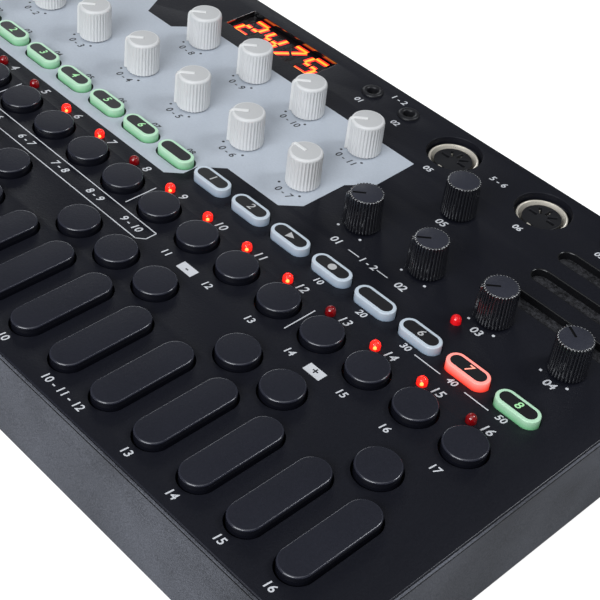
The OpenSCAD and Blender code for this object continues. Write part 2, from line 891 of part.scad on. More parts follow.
top_panel();
bottom_case();
control_board();
key_mat();
display_module();
display_window();
speaker();
midi_sockets();
mini_jacks();
rear_sockets();
status_leds();
potentiometers();
battery_cells();
battery_contacts();
rubber_feet();
case_screws();
battery_door();
power_slider();
white_key_01();
white_key_02();
white_key_03();
white_key_04();
white_key_05();
white_key_06();
white_key_07();
white_key_08();
white_key_09();
white_key_10();
white_key_11();
white_key_12();
white_key_13();
white_key_14();
white_key_15();
white_key_16();
black_keys_a();
black_keys_b();
black_keys_c();
step_keys_a();
step_keys_b();
step_keys_c();
step_keys_d();
soft_keys_a();
soft_keys_b();
soft_keys_c();
knob_front_01();
knob_front_02();
knob_front_03();
knob_front_04();
knob_front_05();
knob_front_06();
knob_front_07();
knob_back_01();
knob_back_02();
knob_back_03();
knob_back_04();
knob_effect_a();
knob_effect_b();
knob_tempo();
knob_volume();
knob_value();
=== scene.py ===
"""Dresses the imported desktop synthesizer: panel, prints, keys, knobs, lamps, sockets."""
import math

import bmesh
import bpy
from mathutils import Matrix, Vector


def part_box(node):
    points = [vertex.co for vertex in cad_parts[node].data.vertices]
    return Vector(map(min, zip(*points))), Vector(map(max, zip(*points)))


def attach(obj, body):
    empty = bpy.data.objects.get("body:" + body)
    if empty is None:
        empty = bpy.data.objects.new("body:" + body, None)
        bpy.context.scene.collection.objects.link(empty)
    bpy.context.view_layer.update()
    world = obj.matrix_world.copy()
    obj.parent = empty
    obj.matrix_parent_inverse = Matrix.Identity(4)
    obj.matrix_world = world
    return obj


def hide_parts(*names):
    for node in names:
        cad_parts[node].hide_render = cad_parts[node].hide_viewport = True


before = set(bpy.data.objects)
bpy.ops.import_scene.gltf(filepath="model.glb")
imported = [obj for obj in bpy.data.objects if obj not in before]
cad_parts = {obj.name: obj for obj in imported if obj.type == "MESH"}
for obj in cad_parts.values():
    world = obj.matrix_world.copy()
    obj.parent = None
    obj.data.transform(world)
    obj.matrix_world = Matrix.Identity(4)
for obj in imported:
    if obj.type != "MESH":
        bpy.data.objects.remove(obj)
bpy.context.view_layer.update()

bl_info = {
    "name": "Desktop synthesizer dresser",
    "version": (1, 0, 0),
    "blender": (4, 5, 0),
    "location": "View3D > Sidebar > Synth",
    "description": "Builds the visible pieces of a desktop synthesizer on its packed frame",
    "category": "Object",
}

MM = 0.001


def corner(node, side):
    """Low (0) or high (1) corner of a node's box, in mm."""
    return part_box(node)[side] / MM


def middle(node):
    """Centre of a node's box, in mm."""
    return (corner(node, 0) + corner(node, 1)) / 2


PANEL_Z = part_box("top_panel")[1].z
KEY_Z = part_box("white_key_01")[1].z
KNOB_GAP, KNOB_HIGH = 0.5, 11.3
KNOB_BASE = PANEL_Z + KNOB_GAP * MM
KNOB_Z = KNOB_BASE + KNOB_HIGH * MM
PITCH = (middle("white_key_16").x - middle("white_key_01").x) / 15
WHITE_Y, SOFT_Y = middle("white_key_01").y, middle("soft_keys_a").y
BLACK_Y, STEP_Y = middle("black_keys_c").y, middle("step_keys_a").y
WHITE_HALF, WHITE_R, BLACK_R, STEP_R, KEY_GAP = 10.6, 4.8, 6.1, 6.05, 0.55
SOFT_HALF, SOFT_R, SOFT_GAP = 3.85, 3.05, 0.35
SHAFT_R, SHAFT_DEEP = 3.0, 9.0
LAMP_RIM, LAMP_RISE, TEMPO_LAMP_LEFT = 1.95, 0.85, 5.7
LAMP_FIT, SHAFT_ROOM, JACK_HOLE, SOCKET_HOLE = 0.08, 0.6, 3.05, 9.0
SHIELD_R, SHIELD_IN, INSERT_R, HOUSING_IN = 8.1, 7.3, 6.15, 8.15
SHIELD_DROP, INSERT_DROP, HOUSING_DROP = 2.0, 2.6, 3.5
BORE_R, BORE_DEEP = 1.8, 13.3
MATT, GLOSS, EDGE, FRAME, LIP_SHADE = range(5)  # material slots of the panel plate: matt, gloss, rim edge lightened as painted highlight, display frame, and lip darkened as painted shade
RIBS = {"light": (4.96, 0.44, 10.2, 0.0), "dark": (4.9, 0.42, 10.85, -0.032)}  # mm, and lean
STEP_ROW, STRIP_ROW, NOTE_ROW, TAG_ROW = -8.5, -28.4, -83.4, -2.7  # Y of printed figures
FIGURE_PITCH, PANE_GAP = 9.9, 0.5
FLOOR_HALF, FLOOR_Z = 6.0, -0.5 * MM
LIGHTS = (  # name, place and aim in metres, width, height, watts
    ("front", (0.4, -1.75, 1.2), (0.0, 0.0, 0.02), 1.6, 1.1, 36.0),
    ("top", (0.3, -0.7, 1.9), (0.0, 0.0, 0.0), 2.4, 2.4, 16.0),
    ("back_right", (0.55, 0.85, 1.1), (0.05, 0.0, 0.03), 0.45, 0.4, 5.4),
    ("back_left", (-1.3, 1.0, 0.65), (0.0, 0.0, 0.03), 0.7, 0.35, 2.4),
)
CAMERA_TURN = (41.92, 41.29, 7.09)  # azimuth, elevation and roll in degrees
CAMERA_PLACE = (254.53, -226.08, 252.42)  # mm from the middle of the panel's top
CAMERA_FOCUS = 1398.91 / 600.0  # focal length in picture widths
BLACK_AFTER = {"a": (1, 2, 3, 5, 6), "b": (8, 9, 10, 12, 13), "c": (15,)}
SOFT_COLUMNS = {"a": range(1, 9), "b": range(9, 13), "c": range(13, 17)}
LIT_STEPS = (2, 3, 6, 7, 9, 10, 11, 12, 14, 15)
UNLIT_SOFT, RED_SOFT, PLAY_SOFT, RECORD_SOFT = range(9, 15), 15, 11, 12  # soft key columns
BLANK_SOFT = (1, 8, 13)
JACK_BODY, JACK_PITCH, SOCKET_BODY = 9.0, 16.5, 19.0
DISPLAY_SIZE = (42.0, 13.5)
SLOT_PITCH, SLOT_HALF, SLOT_R = 12.6, 17.5, 2.9
PLATE, LIP_OUT, LIP_HIGH, LIP_CORNER = 2.5, 0.6, 0.7, 3.4
GROOVE_DROP, GROOVE_HIGH = 0.3, 0.25
PRINT_LIFT, FILM_LIFT = 0.02 * MM, 0.012 * MM
FIELD_EDGE = (  # outline of the pale field in mm
    (37.9, 60.1), (38.4, 42.8), (32.6, 34.6), (32.7, 17.4), (27.8, 11.6), (5.2, 11.5), (-0.8, 4.6),
    (-0.8, -0.9), (-4.7, -5.3), (-139.0, -5.3), (-143.5, -0.8), (-143.5, 77.0), (-139.0, 82.0),
    (-92.0, 82.0), (-88.0, 78.0), (-88.0, 63.0), (-81.0, 50.0), (-68.3, 50.0), (-61.0, 60.1))
STRIP_EDGE = ((-134.0, -25.5), (16.8, -25.5), (16.8, -29.3), (14.6, -31.4), (-134.0, -31.4))
GRAIN_DEEP, MILK_ROUGH = 0.2 * MM, 0.35
LIGHT_KNOBS = (["knob_front_%02d" % i for i in range(1, 8)]
               + ["knob_back_%02d" % i for i in range(1, 5)])
DARK_KNOBS = ["knob_effect_a", "knob_effect_b", "knob_tempo", "knob_volume", "knob_value"]
KNOB_ANGLE = 225.0
KNOB_ANGLES = {"knob_front_07": 180.0, "knob_volume": 152.0, "knob_value": None}


def column(i):
    """X of key column i, counted from the left, in mm."""
    return (i - 8.5) * PITCH


def knob_places():
    """Name, place in mm, pointer angle in degrees and kind of every knob."""
    rows = []
    for kind, names in (("light", LIGHT_KNOBS), ("dark", DARK_KNOBS)):
        for name in names:
            rows.append((name, *middle(name).xy, KNOB_ANGLES.get(name, KNOB_ANGLE), kind))
    return rows


def jack_places():
    """Places of the four small jacks, in mm."""
    first = corner("mini_jacks", 0).x + JACK_BODY / 2
    last = corner("mini_jacks", 1).x - JACK_BODY / 2
    y = middle("mini_jacks").y
    return [(x, y) for x in (first, first + JACK_PITCH, last - JACK_PITCH, last)]


def socket_places():
    """Places of the two round sockets, in mm."""
    first = corner("midi_sockets", 0).x + SOCKET_BODY / 2
    last = corner("midi_sockets", 1).x - SOCKET_BODY / 2
    return [(x, middle("midi_sockets").y) for x in (first, last)]


def lamp_places():
    """Places of the sixteen step lamps and the tempo lamp, in mm."""
    low, high = corner("status_leds", 0), corner("status_leds", 1)
    row = [(low.x + LAMP_RIM + (i - 1) * PITCH, low.y + LAMP_RIM) for i in range(1, 17)]
    return row + [(middle("knob_tempo").x - TEMPO_LAMP_LEFT, high.y - LAMP_RIM)]


class Bag:
    """Collects faces in metres and turns them into one mesh object at the origin."""

    def __init__(self):
        self.points = []
        self.faces = []
        self.slots = []

    def face(self, points, slot=0):
        """Adds one flat face."""
        start = len(self.points)
        self.points.extend(points)
        self.faces.append(tuple(range(start, start + len(points))))
        self.slots.append(slot)

    def rings(self, rings, slot=0, low=True, high=True, high_slot=None):
        """Adds a skin through rings of points, with or without its two ends."""
        start, n = len(self.points), len(rings[0])
        for ring in rings:
            self.points.extend(ring)
        for i in range(len(rings) - 1):
            a = start + i * n
            for k in range(n):
                j = (k + 1) % n
                self.faces.append((a + k, a + j, a + n + j, a + n + k))
                self.slots.append(slot)
        if low:
            self.faces.append(tuple(start + k for k in reversed(range(n))))
            self.slots.append(slot)
        if high:
            last = start + (len(rings) - 1) * n
            self.faces.append(tuple(last + k for k in range(n)))
            self.slots.append(slot if high_slot is None else high_slot)

    def strip(self, rings, slot=0):
        """Wall of an opening, facing its middle."""
        self.rings([ring[::-1] for ring in rings], slot, False, False)

    def mesh(self, mesh, place=Matrix.Identity(4), slot=0, facing=0):
        """Adds a mesh and removes it; facing turns flat faces up (1) or down (-1)."""
        start = len(self.points)
        self.points.extend(tuple(place @ v.co) for v in mesh.vertices)
        for p in mesh.polygons:
            order = [start + i for i in p.vertices]
            self.faces.append(tuple(order[::-1] if facing * p.normal.z < 0 else order))
            self.slots.append(slot)
        bpy.data.meshes.remove(mesh)

    def build(self, name, materials, sharp=32.0, weld=False):
        """Makes the mesh object; edges sharper than an angle in degrees stay sharp."""
        mesh = bpy.data.meshes.new(name)
        mesh.from_pydata(self.points, [], self.faces)
        for m in materials:
            mesh.materials.append(m)
        mesh.polygons.foreach_set("material_index", self.slots)
        if weld:
            shape = bmesh.new()
            shape.from_mesh(mesh)
            bmesh.ops.remove_doubles(shape, verts=shape.verts, dist=0.002 * MM)
            shape.to_mesh(mesh)
            shape.free()
        mesh.update()
        mesh.polygons.foreach_set("use_smooth", [True] * len(mesh.polygons))
        mesh.set_sharp_from_angle(angle=math.radians(sharp))
        piece = bpy.data.objects.new(name, mesh)
        bpy.context.scene.collection.objects.link(piece)
        return piece


def level(outline, z):
    """Points of an outline in mm at one height; z in metres."""
    return [(px * MM, py * MM, z) for px, py in outline]


def turned(outline, x, y, degrees):
    """Outline in mm turned about the origin, then moved to x, y."""
    c, s = math.cos(math.radians(degrees)), math.sin(math.radians(degrees))
    return [(x + px * c - py * s, y + px * s + py * c) for px, py in outline]


def round_ring(x, y, r, z, n=48):
    """Points of a circle; x, y, r in mm, z in metres."""
    return level(circle_outline(x, y, r, n), z)


def bar_outline(x, y, half, r, along, n=24):
    """Outline in mm of a bar with round ends, lying along X or Y."""
    points, flat = [], along == "X"
    for side in (1, -1):
        dx, dy = (side * half, 0) if flat else (0, side * half)
        for k in range(n + 1):
            a = math.pi * k / n + (0 if side > 0 else math.pi) - (math.pi / 2 if flat else 0)
            points.append((x + dx + r * math.cos(a), y + dy + r * math.sin(a)))
    return points


def bar_ring(x, y, half, r, z, along, n=24):
    """Points of a round-ended bar at one height; z in metres."""
    return level(bar_outline(x, y, half, r, along, n), z)


def rounded_edge(r, top, edge, steps=6):
    """Radius in mm and height in metres along a rounded upper edge."""
    return [(r - edge + edge * math.cos(a), top - edge * MM + edge * MM * math.sin(a))
            for a in (math.pi / 2 * k / steps for k in range(steps + 1))]


def flat_mesh(outlines, extrude=0.0, bevel=0.0):
    """Filled flat mesh from closed outlines in mm; the first is the edge, the rest are holes."""
    curve = bpy.data.curves.new("outline", "CURVE")
    curve.dimensions = "2D"
    curve.fill_mode = "BOTH"
    curve.extrude = extrude * MM
    curve.bevel_depth = bevel * MM
    curve.bevel_resolution = 2
    curve.offset = -bevel * MM
    for i, outline in enumerate(outlines):
        points = outline if i == 0 else outline[::-1]
        spline = curve.splines.new("POLY")
        spline.points.add(len(points) - 1)
        for p, (x, y) in zip(spline.points, points):
            p.co = (x * MM, y * MM, 0, 1)
        spline.use_cyclic_u = True
    return to_mesh(curve)


def to_mesh(data):
    """Plain mesh of a curve or text datablock."""
    holder = bpy.data.objects.new("holder", data)
    bpy.context.scene.collection.objects.link(holder)
    bpy.context.view_layer.update()
    graph = bpy.context.evaluated_depsgraph_get()
    mesh = bpy.data.meshes.new_from_object(holder.evaluated_get(graph))
    bpy.data.objects.remove(holder)
    return mesh


def text_mesh(words, size, slant=0.0, weight=0.0):
    """Flat mesh of plain figures, size in mm, centred on the origin."""
    text = bpy.data.curves.new("figures", "FONT")
    text.body = words
    text.size = size * MM
    text.align_x = "CENTER"
    text.align_y = "CENTER"
    text.shear = slant
    text.offset = weight * MM
    text.resolution_u = 3
    return to_mesh(text)


def circle_outline(x, y, r, n=40):
    """Outline of a circle in mm."""
    return [(x + r * math.cos(2 * math.pi * k / n), y + r * math.sin(2 * math.pi * k / n))
            for k in range(n)]


def rectangle_outline(x, y, w, d, r=0.0, n=8):
    """Outline in mm of a rectangle with round corners."""
    if r <= 0:
        return [(x - w / 2, y - d / 2), (x + w / 2, y - d / 2),
                (x + w / 2, y + d / 2), (x - w / 2, y + d / 2)]
    points = []
    for i, (sx, sy) in enumerate(((1, 1), (-1, 1), (-1, -1), (1, -1))):
        for k in range(n + 1):
            a = math.pi / 2 * (i + k / n)
            points.append((x + sx * (w / 2 - r) + r * math.cos(a),
                           y + sy * (d / 2 - r) + r * math.sin(a)))
    return points


def figures(bag, words, x, y, z, size, slot=0, slant=0.0, weight=0.0):
    """Adds printed figures, centred at x, y in mm, to a bag."""
    place = Matrix.Translation((x * MM, y * MM, z))
    bag.mesh(text_mesh(words, size, slant, weight), place, slot, 1)


def stroke(bag, a, b, width, z, slot=0):
    """Adds a printed line from a to b, in mm, to a bag."""
    a, b = Vector(a), Vector(b)
    side = (b - a).normalized().orthogonal() * width / 2
    corners = (a - side, b - side, b + side, a + side)
    if (b - a).x * side.y - (b - a).y * side.x < 0:
        corners = corners[::-1]
    bag.face([(p.x * MM, p.y * MM, z) for p in corners], slot)


def seat(piece, body, slot, *nodes):
    """Lets a piece ride on a body and stand for nodes; its slot is not used."""
    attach(piece, body)
    if nodes:
        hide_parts(*nodes)


def dress(node, material):
    """Gives a CAD node its material."""
    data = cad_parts[node].data
    data.materials.clear()
    data.materials.append(material)


# nodes

def add(tree, *kinds):
    """New nodes of a tree, one for each kind."""
    return [tree.nodes.new(kind) for kind in kinds]


def fill(node, values):
    """Sets inputs of a node, by name or number."""
    for label, value in values.items():
        node.inputs[label].default_value = value


def wire(tree, *rows):
    """Links an output of one node to an input of another, for each row."""
    for source, out, target, into in rows:
        tree.links.new(source.outputs[out], target.inputs[into])


def operate(rows):
    """Sets the operation of each node."""
    for node, operation in rows:
        node.operation = operation


def new_group(name, kind, inputs, outputs):
    """Node group with named sockets; gives the group, its input node and its output node."""
    group = bpy.data.node_groups.new(name, kind)
    for way, sockets in (("INPUT", inputs), ("OUTPUT", outputs)):
        for label, form in sockets.items():
            group.interface.new_socket(label, in_out=way, socket_type="NodeSocket" + form)
    return group, *add(group, "NodeGroupInput", "NodeGroupOutput")


# node groups for materials

def grain_group():
    """Fine moulded grain with slow tone changes; heights and tones from Object coordinates."""
    group = bpy.data.node_groups.get("moulded grain")
    if group:
        return group
    group, start, end = new_group(
        "moulded grain", "ShaderNodeTree",
        {"Fine Scale": "Float", "Slow Scale": "Float", "Tone Spread": "Float", "Colour": "Color"},
        {"Colour": "Color", "Height": "Float", "Roughness Shift": "Float"})
    place, fine, slow, toned = add(group, "ShaderNodeTexCoord", "ShaderNodeTexNoise",
                                   "ShaderNodeTexNoise", "ShaderNodeVectorMath")
    mixed, centred, spread, rough = add(group, *["ShaderNodeMath"] * 4)
    operate(((mixed, "ADD"), (centred, "SUBTRACT"), (spread, "MULTIPLY_ADD"), (rough, "MULTIPLY"),
             (toned, "SCALE")))
    fill(fine, {"Detail": 3.0})
    fill(slow, {"Detail": 4.0})
    fill(centred, {1: 1.0})
    fill(spread, {2: 1.0})
    fill(rough, {1: 0.12})
    wire(group, (place, "Object", fine, "Vector"), (start, "Fine Scale", fine, "Scale"),
         (place, "Object", slow, "Vector"), (start, "Slow Scale", slow, "Scale"),
         (fine, "Fac", mixed, 0), (slow, "Fac", mixed, 1), (mixed, 0, centred, 0),
         (centred, 0, spread, 0), (start, "Tone Spread", spread, 1),
         (start, "Colour", toned, 0), (spread, 0, toned, "Scale"), (centred, 0, rough, 0),
         (toned, 0, end, "Colour"), (fine, "Fac", end, "Height"),
         (rough, 0, end, "Roughness Shift"))
    return group


def height_group():
    """Mask that goes from 0 at one height of the object to 1 at another."""
    group = bpy.data.node_groups.get("height fade")
    if group:
        return group
    group, start, end = new_group("height fade", "ShaderNodeTree",
                                  {"Low": "Float", "High": "Float"}, {"Mask": "Float"})
    place, split, span = add(group, "ShaderNodeTexCoord", "ShaderNodeSeparateXYZ",
                             "ShaderNodeMapRange")
    wire(group, (place, "Object", split, 0), (split, "Z", span, "Value"),
         (start, "Low", span, "From Min"), (start, "High", span, "From Max"),
         (span, "Result", end, "Mask"))
    return group


def height_mask(tree, low, high):
    """Node with the height mask between two heights, in metres."""
    fade, = add(tree, "ShaderNodeGroup")
    fade.node_tree = height_group()
    fill(fade, {"Low": low, "High": high})
    return fade


def shader_of(material):
    """The material's one shader."""
    return material.node_tree.nodes["Principled BSDF"]


def new_material(name, rough, metal=0.0, specular=0.5):
    """Empty node material; gives the material and its shader."""
    material = bpy.data.materials.new(name)
    material.use_nodes = True
    shader = shader_of(material)
    fill(shader, {"Roughness": rough, "Metallic": metal, "Specular IOR Level": specular})
    return material, shader


def grained(name, colour, rough, fine=2200.0, slow=18.0, spread=0.25, bump=0.15, metal=0.0,
            specular=0.5, ior=None):
    """Moulded material: tone, roughness and bump from the grain group."""
    material, shader = new_material(name, rough, metal, specular)
    if ior:
        fill(shader, {"IOR": ior})
    tree = material.node_tree
    grain, total, relief = add(tree, "ShaderNodeGroup", "ShaderNodeMath", "ShaderNodeBump")
    grain.node_tree = grain_group()
    fill(grain, {"Fine Scale": fine, "Slow Scale": slow, "Tone Spread": spread,
                 "Colour": (*colour[:3], 1.0)})
    total.operation = "ADD"
    fill(total, {1: rough})
    fill(relief, {"Strength": bump, "Distance": GRAIN_DEEP})
    wire(tree, (grain, "Colour", shader, "Base Color"), (grain, "Roughness Shift", total, 0),
         (total, 0, shader, "Roughness"), (grain, "Height", relief, "Height"),
         (relief, "Normal", shader, "Normal"))
    return material


def band(material, low, high, factor):
    """Multiplies a material's colour by a factor between two heights of the object."""
    tree, soft = material.node_tree, 0.03 * MM
    target = shader_of(material).inputs["Base Color"]
    inside, gain, toned = add(tree, "ShaderNodeMath", "ShaderNodeMath", "ShaderNodeVectorMath")
    operate(((inside, "SUBTRACT"), (gain, "MULTIPLY_ADD"), (toned, "SCALE")))
    fill(gain, {1: factor - 1.0, 2: 1.0})
    for k, height in enumerate((low, high)):
        wire(tree, (height_mask(tree, height - soft, height + soft), "Mask", inside, k))
    wire(tree, (inside, 0, gain, 0), (gain, 0, toned, "Scale"))
    tree.links.new(target.links[0].from_socket, toned.inputs[0])
    tree.links.new(toned.outputs[0], target)


def glowing(name, low_colour, high_colour, low, high, strength, glow=None):
    """Milky or lit material whose colour and light fade with height."""
    material, shader = new_material(name, MILK_ROUGH)
    tree = material.node_tree
    fade = height_mask(tree, low, high)
    for socket, ends in (("Base Color", (low_colour, high_colour)),
                         ("Emission Color", glow or (low_colour, high_colour))):
        ramp, = add(tree, "ShaderNodeValToRGB")
        for element, colour in zip(ramp.color_ramp.elements, ends):
            element.color = (*colour, 1.0)
        wire(tree, (fade, "Mask", ramp, "Fac"), (ramp, "Color", shader, socket))
    fill(shader, {"Emission Strength": strength})
    return material


def clear_resin(name, colour, glow, strength, clear, specular=0.5):
    """Tinted lamp resin with fine streaks; clear lets the core show through."""
    material = grained(name, colour, 0.08, 1400.0, 300.0, 0.1, 0.02, specular=specular, ior=1.45)
    fill(shader_of(material), {"Transmission Weight": clear, "Emission Color": (*glow, 1.0),
                               "Emission Strength": strength})
    return material


# geometry node trees

def new_tree(name, inputs):
    """Geometry node tree with a mesh in and out, named inputs and a material."""
    return new_group(name, "GeometryNodeTree",
                     {"Geometry": "Geometry", **inputs, "Material": "Material"},
                     {"Geometry": "Geometry"})


def close_tree(tree, last, start, end):
    """Realizes the instances of the last node and sets the material before the output."""
    real, dressed = add(tree, "GeometryNodeRealizeInstances", "GeometryNodeSetMaterial")
    wire(tree, (last, 0, real, 0), (real, 0, dressed, "Geometry"),
         (start, "Material", dressed, "Material"), (dressed, 0, end, 0))
    return tree


def ridge_tree():
    """Ring of upright ribs with round tips around a knob skirt."""
    tree = bpy.data.node_groups.get("knob ribs")
    if tree:
        return tree
    tree, start, end = new_tree("knob ribs", {
        "Count": "Int", "Ring Radius": "Float", "Rib Radius": "Float", "Rib Length": "Float",
        "Lean": "Float", "Centre": "Vector"})
    ring, rib, tip = add(tree, "GeometryNodeMeshCircle", "GeometryNodeMeshCylinder",
                         "GeometryNodeMeshUVSphere")
    half, share, angle = add(tree, *["ShaderNodeMath"] * 3)
    rise, turn = add(tree, *["ShaderNodeCombineXYZ"] * 2)
    lift, move = add(tree, *["GeometryNodeTransform"] * 2)
    joined, index, spin, copies = add(
        tree, "GeometryNodeJoinGeometry", "GeometryNodeInputIndex", "FunctionNodeEulerToRotation",
        "GeometryNodeInstanceOnPoints")
    operate(((half, "MULTIPLY"), (share, "DIVIDE"), (angle, "MULTIPLY")))
    fill(rib, {"Vertices": 10})
    fill(tip, {"Segments": 10, "Rings": 6})
    fill(half, {1: 0.5})
    fill(angle, {1: 2 * math.pi})
    wire(tree, (start, "Count", ring, "Vertices"), (start, "Ring Radius", ring, "Radius"),
         (start, "Rib Radius", rib, "Radius"), (start, "Rib Radius", tip, "Radius"),
         (start, "Rib Length", rib, "Depth"), (start, "Rib Length", half, 0), (half, 0, rise, "Z"),
         (tip, "Mesh", lift, "Geometry"), (rise, 0, lift, "Translation"),
         (rib, "Mesh", joined, 0), (lift, 0, joined, 0),
         (index, 0, share, 0), (start, "Count", share, 1), (share, 0, angle, 0),
         (start, "Lean", turn, "Y"), (angle, 0, turn, "Z"), (turn, 0, spin, 0),
         (ring, 0, copies, "Points"), (joined, 0, copies, "Instance"),
         (spin, 0, copies, "Rotation"),
         (copies, 0, move, "Geometry"), (start, "Centre", move, "Translation"))
    return close_tree(tree, move, start, end)


def lamp_tree():
    """Round-topped lamps with a straight neck on the points of a mesh."""
    tree = bpy.data.node_groups.get("domed lamps")
    if tree:
        return tree
    tree, start, end = new_tree("domed lamps", {"Radius": "Float", "Neck": "Float"})
    dome, place, split, under = add(tree, "GeometryNodeMeshUVSphere", "GeometryNodeInputPosition",
                                    "ShaderNodeSeparateXYZ", "FunctionNodeCompare")
    down, drop, stretch, smooth, copies = add(
        tree, "ShaderNodeMath", "ShaderNodeCombineXYZ", "GeometryNodeSetPosition",
        "GeometryNodeSetShadeSmooth", "GeometryNodeInstanceOnPoints")
    under.data_type, under.operation, down.operation = "FLOAT", "LESS_THAN", "MULTIPLY"
    fill(dome, {"Segments": 32, "Rings": 20})
    fill(under, {"B": -0.001 * MM})
    fill(down, {1: -1.0})
    wire(tree, (start, "Radius", dome, "Radius"), (place, 0, split, 0), (split, "Z", under, "A"),
         (start, "Neck", down, 0), (down, 0, drop, "Z"), (dome, "Mesh", stretch, "Geometry"),
         (under, "Result", stretch, "Selection"), (drop, 0, stretch, "Offset"),
         (stretch, 0, smooth, "Geometry"), (start, "Geometry", copies, "Points"),
         (smooth, 0, copies, "Instance"))
    return close_tree(tree, copies, start, end)


def dot_tree():
    """Printed round dots on the points of a mesh."""
    tree = bpy.data.node_groups.get("printed dots")
    if tree:
        return tree
    tree, start, end = new_tree("printed dots", {"Radius": "Float"})
    disc, copies = add(tree, "GeometryNodeMeshCircle", "GeometryNodeInstanceOnPoints")
    disc.fill_type = "NGON"
    fill(disc, {"Vertices": 20})
    wire(tree, (start, "Radius", disc, "Radius"), (start, "Geometry", copies, "Points"),
         (disc, 0, copies, "Instance"))
    return close_tree(tree, copies, start, end)


def grow(name, tree, values, points=((0.0, 0.0, 0.0),), smooth=None):
    """Runs a tree on a cloud of points and leaves a plain mesh object at the origin."""
    seed = bpy.data.meshes.new(name + ".points")
    seed.from_pydata(list(points), [], [])
    piece = bpy.data.objects.new(name, seed)
    bpy.context.scene.collection.objects.link(piece)
    run = piece.modifiers.new("grow", "NODES")
    run.node_group = tree
    for item in tree.interface.items_tree:
        if item.item_type == "SOCKET" and item.in_out == "INPUT" and item.name in values:
            run[item.identifier] = values[item.name]
    bpy.context.view_layer.update()
    graph = bpy.context.evaluated_depsgraph_get()
    mesh = bpy.data.meshes.new_from_object(piece.evaluated_get(graph))
    piece.modifiers.clear()
    piece.data = mesh
    mesh.name = name
    bpy.data.meshes.remove(seed)
    if smooth:
        mesh.polygons.foreach_set("use_smooth", [True] * len(mesh.polygons))
        mesh.set_sharp_from_angle(angle=math.radians(smooth))
    return piece


# what a user would change

def length(name, text, value):
    """Length property with its default in mm."""
    return bpy.props.FloatProperty(name=name, description=text, default=value * MM, unit="LENGTH",
                                   precision=5)


def tint(name, text, value):
    """Colour property."""
    return bpy.props.FloatVectorProperty(name=name, description=text, subtype="COLOR",
                                         default=value)


class SynthSizes(bpy.types.PropertyGroup):
    """Sizes of the dressed pieces."""
    key_edge: length("Key edge", "Rounding of the note and step keys", 0.44)
    soft_edge: length("Soft key edge", "Rounding of the soft keys", 0.35)
    panel_edge: length("Panel edge", "Rounding of the panel's rim and holes", 0.16)
    slot_edge: length("Slot edge", "Rounding of the speaker slots", 0.5)
    print_width: length("Print line", "Width of the printed lines", 0.34)
    lamp_radius: length("Lamp radius", "Radius of a lamp", 1.5)
    rib_count: bpy.props.IntProperty(
        name="Knob ribs", description="Ribs around a knob", default=32, min=16, max=48)


class SynthColours(bpy.types.PropertyGroup):
    """Colours of the dressed pieces."""
    panel: tint("Panel", "Matt panel plate", (0.0055, 0.006, 0.0105))
    case: tint("Case", "Moulded case", (0.099, 0.103, 0.12))
    field: tint("Field", "Printed field around the light knobs", (0.48, 0.52, 0.58))
    ink: tint("Ink", "Printed figures on the panel", (0.66, 0.67, 0.7))
    key: tint("Keys", "Rubber of the note and step keys", (0.012, 0.0128, 0.0205))
    light_knob: tint("Light knobs", "Plastic of the light knobs", (0.72, 0.72, 0.72))
    dark_knob: tint("Dark knobs", "Plastic of the dark knobs", (0.006, 0.0064, 0.0095))


def sizes():
    """The sizes in use."""
    return bpy.context.scene.synth_sizes


def colours():
    """The colours in use."""
    return bpy.context.scene.synth_colours


class SYNTH_OT_case(bpy.types.Operator):
    """Gives the case, the parts inside it and its underside their finishes"""
    bl_idname = "synth.case"
    bl_label = "Case and inside"

    def execute(self, context):
        c = colours()
        finishes = {
            "bottom_case": grained("case_moulded_grey", c.case, 0.55, 2500.0, 26.0, 1.9, 1.0,
                                   specular=0.2),
            "battery_door": grained("door_moulded_grey", c.case, 0.58, 2500.0, 24.0, 1.9, 1.0,
                                    specular=0.2),
        }
        for node, *look in (
                ("power_slider", "slider_black", (0.02, 0.02, 0.022), 0.4),
                ("rubber_feet", "foot_rubber", (0.018, 0.018, 0.018), 0.8, 900.0, 40.0, 0.4, 0.4),
                ("case_screws", "zinc_screw", (0.45, 0.45, 0.46), 0.35, 3000.0, 200.0, 0.3, 0.2,
                 1.0),
                ("control_board", "board_mask_green", (0.015, 0.11, 0.045), 0.3, 900.0, 60.0, 0.4,
                 0.1),
                ("key_mat", "mat_rubber", (0.02, 0.02, 0.022), 0.8, 1200.0, 40.0, 0.3, 0.3),
                ("potentiometers", "pot_metal", (0.5, 0.5, 0.5), 0.35, 1800.0, 90.0, 0.3, 0.2, 1.0),
                ("battery_cells", "cell_sleeve", (0.12, 0.16, 0.26), 0.35, 800.0, 40.0, 0.3, 0.1),
                ("battery_contacts", "contact_plate", (0.6, 0.58, 0.53), 0.3, 2500.0, 90.0, 0.3,
                 0.2, 1.0),
                ("rear_sockets", "inlet_black", (0.014, 0.014, 0.016), 0.35),
                ("display_module", "display_block", (0.02, 0.02, 0.022), 0.4)):
            finishes[node] = grained(*look)
        rim = PANEL_Z - LIP_HIGH * MM
        groove = rim - GROOVE_DROP * MM
        shadow = groove - (GROOVE_HIGH + 0.3) * MM
        # Painted shade: from below the groove up to it the case colour drops to 0.04; painted
        # highlight: the rim band above the groove is lightened by 1.15.
        band(finishes["bottom_case"], shadow, groove - 0.02 * MM, 0.04)
        band(finishes["bottom_case"], groove, PANEL_Z, 1.15)
        for name, material in finishes.items():
            dress(name, material)
        return {"FINISHED"}


